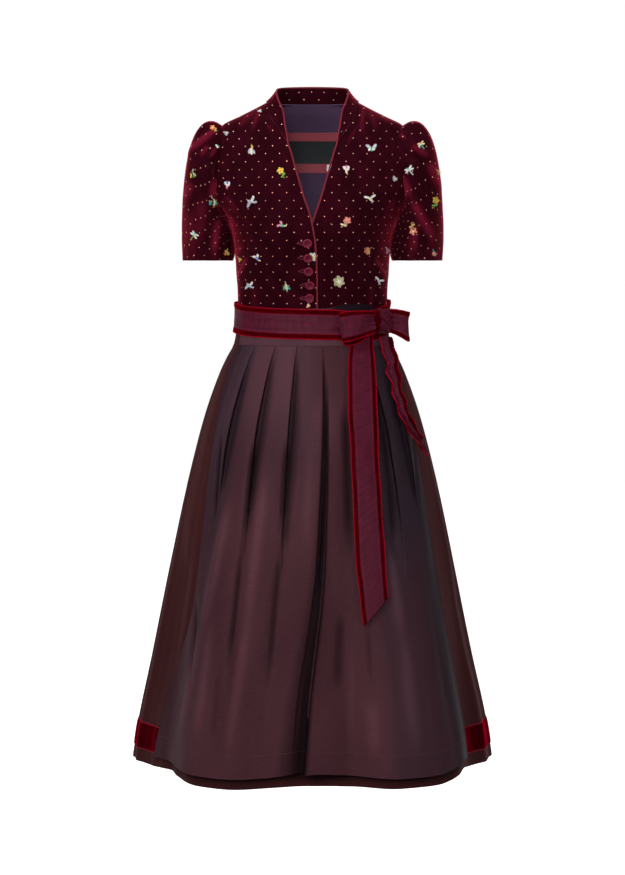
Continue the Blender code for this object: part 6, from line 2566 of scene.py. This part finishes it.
class Motif(Enum):
    """The embroidered figures. Each is a list of leaves round the figure's middle, in millimetres."""

    FLOWER = (
        *petals(-1.5, 3.2, 5, 1.0, 5.0, 3.4, 0),
        *petals(-1.5, 3.2, 4, 0.0, 1.4, 1.5, 1, 45),
        Leaf(-0.5, -1.0, 4.2, -9.0, 1.1, 2), Leaf(1.2, -3.6, 5.6, -1.6, 2.0, 2),
        Leaf(2.2, -5.6, -1.4, -6.8, 1.8, 2),
    )
    ROSETTE = (
        *petals(0, 0, 6, 1.6, 6.4, 3.4, 0),
        *petals(0, 0, 6, 3.0, 5.4, 1.3, 1),
        *petals(0, 0, 5, 0.0, 1.9, 1.6, 2),
    )
    BIRD = (
        Leaf(-4.6, 2.2, 3.2, -2.0, 3.0, 0), Leaf(-1.2, 0.2, -6.4, -7.0, 2.6, 0),
        Leaf(0.6, 0.4, 4.6, 6.6, 2.6, 1), Leaf(2.6, -1.4, 7.8, -2.2, 2.0, 0),
        Leaf(-4.2, 2.4, -6.8, 4.0, 1.2, 2),
    )
    SWALLOW = (
        Leaf(-8.4, 1.6, -0.6, 0.2, 2.2, 0), Leaf(0.4, 0.4, 8.0, 5.6, 2.2, 0),
        Leaf(-1.4, 0.8, 3.6, -3.6, 2.4, 1), Leaf(3.0, -3.0, 6.6, -4.0, 1.1, 0),
        Leaf(3.0, -3.2, 4.2, -6.6, 1.1, 0),
    )
    BEE = (
        Leaf(-1.6, 1.6, 3.0, -2.8, 3.0, 1), Leaf(-1.4, 0.8, -6.0, 3.6, 2.8, 0),
        Leaf(0.6, 1.8, 3.0, 6.0, 2.8, 0), Leaf(2.6, -2.6, 6.6, -4.4, 1.4, 2),
        Leaf(-0.6, 0.2, 1.8, -1.8, 1.2, 2),
    )
    INSECT = (
        Leaf(0.2, 7.6, 0.0, 1.0, 2.2, 1), Leaf(-0.6, 2.4, -4.2, -4.0, 3.2, 0),
        Leaf(0.8, 2.4, 4.2, -4.2, 3.2, 0), Leaf(0.0, 0.6, 0.2, -5.6, 2.6, 2),
        Leaf(-0.4, 7.0, -1.8, 9.4, 0.8, 1),
    )
    BUG = (
        Leaf(0.0, 4.2, 0.2, -4.4, 3.0, 0), Leaf(-1.0, 1.4, -4.8, -3.6, 2.2, 1),
        Leaf(1.2, 1.2, 4.8, -3.8, 2.2, 1), Leaf(-0.2, 4.0, -1.4, 8.6, 1.0, 0),
        Leaf(0.4, -4.0, 1.2, -7.6, 1.0, 2), Leaf(-1.6, 0.2, -5.0, 1.8, 1.0, 2),
        Leaf(1.6, 0.2, 4.8, 2.4, 1.0, 2),
    )
    BUTTERFLY = (
        Leaf(-1.2, -0.6, -7.8, 5.4, 3.2, 0), Leaf(1.2, -0.6, 7.8, 5.4, 3.2, 0),
        Leaf(-1.0, -1.2, -4.8, -2.6, 2.8, 1), Leaf(1.0, -1.2, 4.8, -2.6, 2.8, 1),
        Leaf(0.0, 1.6, 0.0, -4.8, 2.2, 2), Leaf(-3.2, 1.6, -6.4, 4.2, 1.0, 1),
        Leaf(3.2, 1.6, 6.4, 4.2, 1.0, 1),
    )
    DRAGONFLY = (
        Leaf(-2.4, 1.4, 6.8, -6.4, 1.5, 1), Leaf(-1.4, 1.0, -7.2, -0.8, 1.8, 0),
        Leaf(-0.8, 0.2, -4.8, -5.0, 1.8, 0), Leaf(-1.4, 1.6, 1.8, 7.4, 1.8, 0),
        Leaf(-0.4, 0.6, 5.6, 3.4, 1.8, 0), Leaf(-3.8, 2.8, -1.6, 0.8, 2.0, 2),
    )
    BUD = (
        Leaf(-0.4, 5.0, 0.2, -4.0, 4.6, 0), Leaf(-1.4, 2.0, -4.2, -3.6, 1.8, 1),
        Leaf(1.4, 2.6, 3.8, -2.8, 1.8, 2), Leaf(1.0, 4.4, 3.0, 8.2, 1.2, 2),
    )
    SPRIG = (
        Leaf(-1.0, 3.6, 0.4, -3.6, 2.4, 0), Leaf(0.4, 1.8, 3.2, -1.6, 2.0, 1),
    )


class Spot(NamedTuple):
    """Where a figure is sewn, how it is turned and sized, and its colours."""

    motif: Motif
    x: float
    z: float
    turn: float
    size: float
    colours: tuple[Tone, Tone, Tone]


Seat = Callable[[np.ndarray, np.ndarray], tuple[Points, Points]]


@dataclass
class Embroidery:
    """The embroidered figures that are scattered over the velvet."""

    finishes: Finishes
    needle: Needle
    sleeves: tuple[Sleeve, ...]
    pitch: float = 0.62
    slant: float = 62
    narrow: float = 1.25
    fullness: float = 2.4
    scale: float = 1.2
    lift: float = 0.3
    front_right: tuple[Spot, ...] = (
        Spot(Motif.INSECT, -110.2, -72.1, -8, 1.05, (Tone.SILVER, Tone.GOLD, Tone.CREAM)),
        Spot(Motif.FLOWER, -55.5, -113.1, 4, 0.98, (Tone.YELLOW, Tone.ORANGE, Tone.GREEN)),
        Spot(Motif.INSECT, -154.4, -132.0, 172, 0.85, (Tone.WHITE, Tone.PINK, Tone.BLUE)),
        Spot(Motif.BIRD, -110.2, -164.0, 6, 1.1, (Tone.SILVER, Tone.WHITE, Tone.GOLD)),
        Spot(Motif.BEE, -55.5, -207.8, 30, 0.95, (Tone.PINK, Tone.TEAL, Tone.CREAM)),
        Spot(Motif.BEE, -101.1, -266.0, 0, 0.95, (Tone.WHITE, Tone.BLUE, Tone.CREAM)),
        Spot(Motif.BIRD, -114.7, -315.2, -12, 0.95, (Tone.SILVER, Tone.WHITE, Tone.BROWN)),
        Spot(Motif.BUG, -47.3, -317.9, 4, 1.05, (Tone.CREAM, Tone.TEAL, Tone.GOLD)),
        Spot(Motif.SPRIG, -158.2, -38.4, 24, 1.1, (Tone.SILVER, Tone.WHITE, Tone.SILVER)),
        Spot(Motif.SPRIG, -96.0, 1.0, 60, 0.8, (Tone.SILVER, Tone.WHITE, Tone.SILVER)),
        Spot(Motif.SPRIG, -134.6, -267.8, 4, 1.15, (Tone.GOLD, Tone.YELLOW, Tone.GREEN)),
        Spot(Motif.SPRIG, -7.6, -352.5, 96, 0.9, (Tone.CORAL, Tone.CREAM, Tone.PINK)),
        Spot(Motif.ROSETTE, 0.4, -263.6, 20, 0.95, (Tone.WHITE, Tone.GREEN, Tone.YELLOW)),
    )
    front_left: tuple[Spot, ...] = (
        Spot(Motif.INSECT, 61.0, -105.8, 180, 0.95, (Tone.WHITE, Tone.CREAM, Tone.PINK)),
        Spot(Motif.BUTTERFLY, 106.5, -67.5, 0, 1.0, (Tone.SILVER, Tone.WHITE, Tone.TEAL)),
        Spot(Motif.SWALLOW, 102.9, -158.6, -6, 1.05, (Tone.WHITE, Tone.CREAM, Tone.PINK)),
        Spot(Motif.FLOWER, 59.2, -202.3, -66, 1.05, (Tone.CORAL, Tone.PINK, Tone.CREAM)),
        Spot(Motif.BUD, 99.2, -253.3, -28, 1.05, (Tone.CORAL, Tone.ORANGE, Tone.GOLD)),
        Spot(Motif.ROSETTE, 47.7, -307.9, 0, 1.3, (Tone.CREAM, Tone.GREEN, Tone.WHITE)),
        Spot(Motif.SWALLOW, 121.1, -306.1, -38, 0.9, (Tone.WHITE, Tone.SILVER, Tone.CREAM)),
        Spot(Motif.SPRIG, 135.2, -251.0, -8, 1.3, (Tone.SILVER, Tone.WHITE, Tone.SILVER)),
        Spot(Motif.SPRIG, 148.4, -122.2, -12, 1.1, (Tone.SILVER, Tone.WHITE, Tone.BLUE)),
        Spot(Motif.SPRIG, 53.5, -38.0, -50, 0.6, (Tone.SILVER, Tone.WHITE, Tone.SILVER)),
    )
    sleeve_right: tuple[Spot, ...] = (
        Spot(Motif.FLOWER, -180.6, -29.5, 24, 0.72, (Tone.ORANGE, Tone.CREAM, Tone.GOLD)),
        Spot(Motif.SPRIG, -174.0, -62.2, 10, 0.75, (Tone.WHITE, Tone.TEAL, Tone.WHITE)),
        Spot(Motif.BUD, -218.3, -114.0, 14, 1.05, (Tone.GREEN, Tone.YELLOW, Tone.WHITE)),
        Spot(Motif.BUG, -181.4, -163.6, 4, 1.15, (Tone.CREAM, Tone.TEAL, Tone.GOLD)),
        Spot(Motif.DRAGONFLY, -216.4, -224.1, -84, 1.0, (Tone.WHITE, Tone.GREEN, Tone.TEAL)),
        Spot(Motif.BUD, -157.2, -256.3, 10, 0.85, (Tone.GOLD, Tone.ORANGE, Tone.YELLOW)),
    )
    sleeve_left: tuple[Spot, ...] = (
        Spot(Motif.DRAGONFLY, 197.8, -59.8, -14, 0.85, (Tone.CREAM, Tone.TEAL, Tone.ORANGE)),
        Spot(Motif.DRAGONFLY, 175.9, -106.6, -10, 1.0, (Tone.WHITE, Tone.SILVER, Tone.TEAL)),
        Spot(Motif.SPRIG, 228.6, -108.5, 10, 1.25, (Tone.GOLD, Tone.CREAM, Tone.TEAL)),
        Spot(Motif.FLOWER, 224.2, -164.0, -40, 1.0, (Tone.YELLOW, Tone.ORANGE, Tone.GREEN)),
        Spot(Motif.FLOWER, 182.6, -212.6, 168, 1.05, (Tone.CORAL, Tone.CREAM, Tone.GOLD)),
        Spot(Motif.INSECT, 222.9, -256.3, 16, 0.7, (Tone.CORAL, Tone.TEAL, Tone.CREAM)),
    )

    def on_front(self, x: np.ndarray, z: np.ndarray) -> tuple[Points, Points]:
        """Places on the bodice's front and the direction out of it."""
        angle = FORM.torso_angle(x, z)
        return FORM.on_torso(angle, z, self.lift), FORM.normal(FORM.smooth_torso, angle, z)

    def on_sleeve(self, sleeve: Sleeve) -> Seat:
        """Places on the front of a sleeve, found among close points of it."""
        turn, along = grid(np.linspace(0.02, 0.995, 190), np.linspace(4, 176, 260))
        points = sleeve.surface(turn, along).reshape(-1, 3)
        out = sleeve.normal(turn, along).reshape(-1, 3)

        def seat(x: np.ndarray, z: np.ndarray) -> tuple[Points, Points]:
            away = (points[:, 0] - x[:, None]) ** 2 + (points[:, 2] - z[:, None]) ** 2
            near = np.argsort(away, axis=1)[:, :4]
            weight = 1 / (np.take_along_axis(away, near, axis=1) + 0.05)
            weight = (weight / weight.sum(axis=1, keepdims=True))[..., None]
            normal = unit((out[near] * weight).sum(axis=1))
            place = (points[near] * weight).sum(axis=1)
            return place + normal * self.lift, normal

        return seat

    def stitches(self, leaf: Leaf) -> tuple[Points, Points]:
        """The two ends of each stitch of a leaf, flat."""
        start, end = np.array(leaf[:2]), np.array(leaf[2:4])
        along = end - start
        length = float(np.hypot(*along))
        along = along / length
        aside = np.array((-along[1], along[0]))
        if leaf.width < self.narrow:
            count = max(2, round(length / 2.1))
            step = length / count
            middle = start + along * ((np.arange(count) + 0.5) * step)[:, None]
            half = along * (step * 0.6) + 0 * middle
            middle = np.concatenate((middle - aside * 0.42, middle + aside * 0.42))
            half = np.concatenate((half, half))
            return middle - half, middle + half
        count = max(4, round(length / self.pitch))
        share = (np.arange(count) + 0.5) / count
        half = self.fullness * leaf.width / 2 * np.sqrt(1 - (2 * share - 1) ** 2) ** 0.8 + 0.15
        lean = radians(self.slant)
        way = along * cos(lean) + aside * sin(lean)
        middle = start + along * (share * length)[:, None]
        return middle - way * half[:, None], middle + way * half[:, None]

    def sew(self, name: str, spots: Sequence[Spot], seat: Seat) -> None:
        """Sews a panel's figures as one piece."""
        places, ways, outs, tones = [], [], [], []
        for spot in spots:
            turn = radians(spot.turn)
            spin = np.array(((cos(turn), sin(turn)), (-sin(turn), cos(turn)))) * spot.size * self.scale
            for layer, leaf in enumerate(spot.motif.value):
                first, second = (end @ spin + (spot.x, spot.z) for end in self.stitches(leaf))
                low, out = seat(first[:, 0], first[:, 1])
                high, _ = seat(second[:, 0], second[:, 1])
                shade = 0.82 + 0.18 * np.sin(np.arange(len(low)) * 1.9 + layer)
                places.append((low + high) / 2 + out * 0.05 * layer)
                ways.append(high - low)
                outs.append(out)
                tones.append(np.array(spot.colours[leaf.colour].value) * shade[:, None])
        vectors = {"reach": np.concatenate(ways) * MM, "out": np.concatenate(outs)}
        self.needle.sew(
            name, self.needle.satin, np.concatenate(places), vectors, np.concatenate(tones),
        )

    def make(self) -> None:
        """Sews every figure."""
        self.sew("embroidery_front_right", self.front_right, self.on_front)
        self.sew("embroidery_front_left", self.front_left, self.on_front)
        right, left = self.sleeves
        self.sew("embroidery_sleeve_right", self.sleeve_right, self.on_sleeve(right))
        self.sew("embroidery_sleeve_left", self.sleeve_left, self.on_sleeve(left))


@dataclass
class Buttonholes:
    """Five keyhole buttonholes: a stitched rim round a dark slit that runs to a point."""

    buttons: Buttons
    needle: Needle
    length: float = 15.5
    width: float = 6.4
    offset: float = 3.2
    rim: Colour = (0.15, 0.009, 0.03)
    slit: Colour = (0.02, 0.0008, 0.003)

    def outline(self, spot: ButtonSpot, scale: float, lift: float, steps: int = 60) -> Path:
        """A closed drop with its point to the wearer's right."""
        turn = np.linspace(0, tau, steps, endpoint=False)
        share = (1 - np.cos(turn)) / 2
        tall = self.width / 2 * np.sin(turn) * np.abs(np.sin(turn / 2)) ** 0.2 * (1 - share) ** 0.55 * 1.35
        x = spot.x - self.offset - self.length * (0.5 + (share - 0.5) * scale)
        z = spot.z + tall * scale
        angle = FORM.torso_angle(x, z)
        return Path(FORM.on_torso(angle, z, lift), FORM.normal(FORM.smooth_torso, angle, z))

    def make(self) -> None:
        """Sews the rims and the slits."""
        rims = [self.outline(spot, 1.0, 0.35).closed() for spot in self.buttons.spots]
        sew_paths(
            self.needle, "buttonhole_rims", rims, self.rim,
            Pitch=0.55, Length=1.7, Width=0.62, Height=0.9, Across=1.0,
        )
        slits = [self.outline(spot, scale, 0.12) for spot in self.buttons.spots for scale in (0.62, 0.3)]
        sew_paths(
            self.needle, "buttonhole_slits", slits, self.slit,
            Pitch=0.6, Length=1.9, Width=0.8, Height=0.5, Across=1.0,
        )


@dataclass
class Seams:
    """The rows of stitches on the apron, the skirt, the tapes and the label, and the beads along the collar.
    """

    needle: Needle
    cut: BodiceCut
    collar: Collar
    skirt: Skirt
    apron: Apron
    hem_depth: float = 40
    side_depth: float = 21
    taffeta: Colour = (0.07, 0.032, 0.036)
    twill: Colour = (0.01, 0.003, 0.0035)
    ribbon: Colour = (0.13, 0.006, 0.03)
    red: Colour = (0.07, 0.008, 0.013)
    black: Colour = (0.012, 0.012, 0.014)

    def apron_rows(self) -> list[Path]:
        """The hem's row and the two side rows."""
        apron = self.apron
        z = np.array([apron.hem_z + self.hem_depth])
        angle, lift = apron.profile(z)
        rising = np.concatenate(([True], np.diff(np.maximum.accumulate(angle[0])) > 0.01))
        angle, lift = angle[:, rising][0], lift[:, rising][0]
        level = np.full_like(angle, z[0])
        seat = FORM.on_skirt(angle, apron.level(angle, level), lift + 0.2)
        rows = [Path(seat, FORM.level_normal(angle, level))]
        z = np.linspace(apron.hem_z + 4, apron.top_z - 4, 120)
        sides = curves(apron.edges)
        for word, way in (("right", 1), ("left", -1)):
            degree = radians(1) * 0.9 * FORM.skirt_at["half_width"](z)
            angle = sides[word](z) + way * self.side_depth / degree
            place = FORM.skirt(angle, z)
            height = FORM.crease_sum(apron.creases, place)
            lift = apron.lift(angle, z) + height + apron.ripple(angle, z) + 0.3
            rows.append(Path(FORM.on_skirt(angle, apron.level(angle, z), lift), FORM.level_normal(angle, z)))
        return rows

    def band_rows(self) -> list[Path]:
        """The row above the velvet hem band, all the way round."""
        angle = np.linspace(-179.8, 179.8, 700)
        z = np.full_like(angle, self.skirt.band_top + 3.2)
        lift = self.skirt.creased(angle, z) + 0.15
        return [Path(FORM.on_skirt(angle, z, lift), FORM.level_normal(angle, z))]

    def inside_row(self, z: float, half: float, middle: float, depth: float) -> Path:
        """A level row on the inside of the back."""
        x = np.linspace(-half, half, 60) + middle
        level = np.full_like(x, z)
        angle = 180 - FORM.torso_angle(x, level)
        return Path(FORM.on_torso(angle, level, -depth), -FORM.normal(FORM.smooth_torso, angle, level))

    def make(self) -> None:
        """Sews every row."""
        sew_paths(self.needle, "apron_hem_stitches", self.apron_rows(), self.taffeta, Pitch=3.4)
        sew_paths(self.needle, "band_stitches", self.band_rows(), self.twill, Pitch=3.4)
        tape = [self.inside_row(z, 64, 0, 7.2) for z in (-101.5, -30.5)]
        sew_paths(self.needle, "tape_stitches", tape, self.red, Pitch=2.6, Length=1.9)
        label = [self.inside_row(z, 50, 0, 9.15) for z in (-84, -45)]
        sew_paths(self.needle, "label_stitches", label, self.black, Pitch=2.6, Length=1.9)
        self.make_beads()

    def make_beads(self) -> None:
        """The beaded edge along the back of the collar."""
        lower, upper, out = self.collar.edges()
        rise = unit(upper - lower)
        crest = upper + rise * (1.2 + self.cut.piping * 0.9) - out * self.collar.wall / 2
        back = (upper[:, 1] > -12) & (upper[:, 2] > 36)
        sew_paths(
            self.needle, "collar_beads", [Path(crest[back], rise[back])], (0.11, 0.006, 0.014),
            Pitch=2.3, Length=1.5, Width=1.5, Height=1.5, Unevenness=0.0,
        )


class Dirndl:
    """The whole dress."""

    def __init__(self) -> None:
        """Lays out the dress's parts."""
        self.finishes = Finishes()
        self.cut = BodiceCut()
        self.collar = Collar(self.cut, self.finishes)
        self.sleeves = tuple(Sleeve(side, self.cut, self.finishes) for side in Side)
        self.skirt = Skirt(self.finishes)
        self.apron = Apron(self.finishes)

    def make(self) -> None:
        """Makes every part in order."""
        Bodice(self.cut, self.finishes).make()
        self.collar.make()
        Piping(self.cut, self.collar, self.finishes).make()
        for sleeve in self.sleeves:
            sleeve.make()
        buttons = Buttons(self.finishes)
        buttons.make()
        self.skirt.make()
        self.apron.make()
        Sash(self.finishes).make()
        Bow(self.finishes).make()
        needle = Needle(self.finishes.thread)
        Embroidery(self.finishes, needle, self.sleeves).make()
        Buttonholes(buttons, needle).make()
        Seams(needle, self.cut, self.collar, self.skirt, self.apron).make()


def main() -> None:
    """Builds the dress on the frame and sets up the picture."""
    logging.basicConfig(level=logging.INFO, format="%(message)s")
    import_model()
    Dirndl().make()
    Photographer().set_up()


if __name__ == "__main__":
    main()
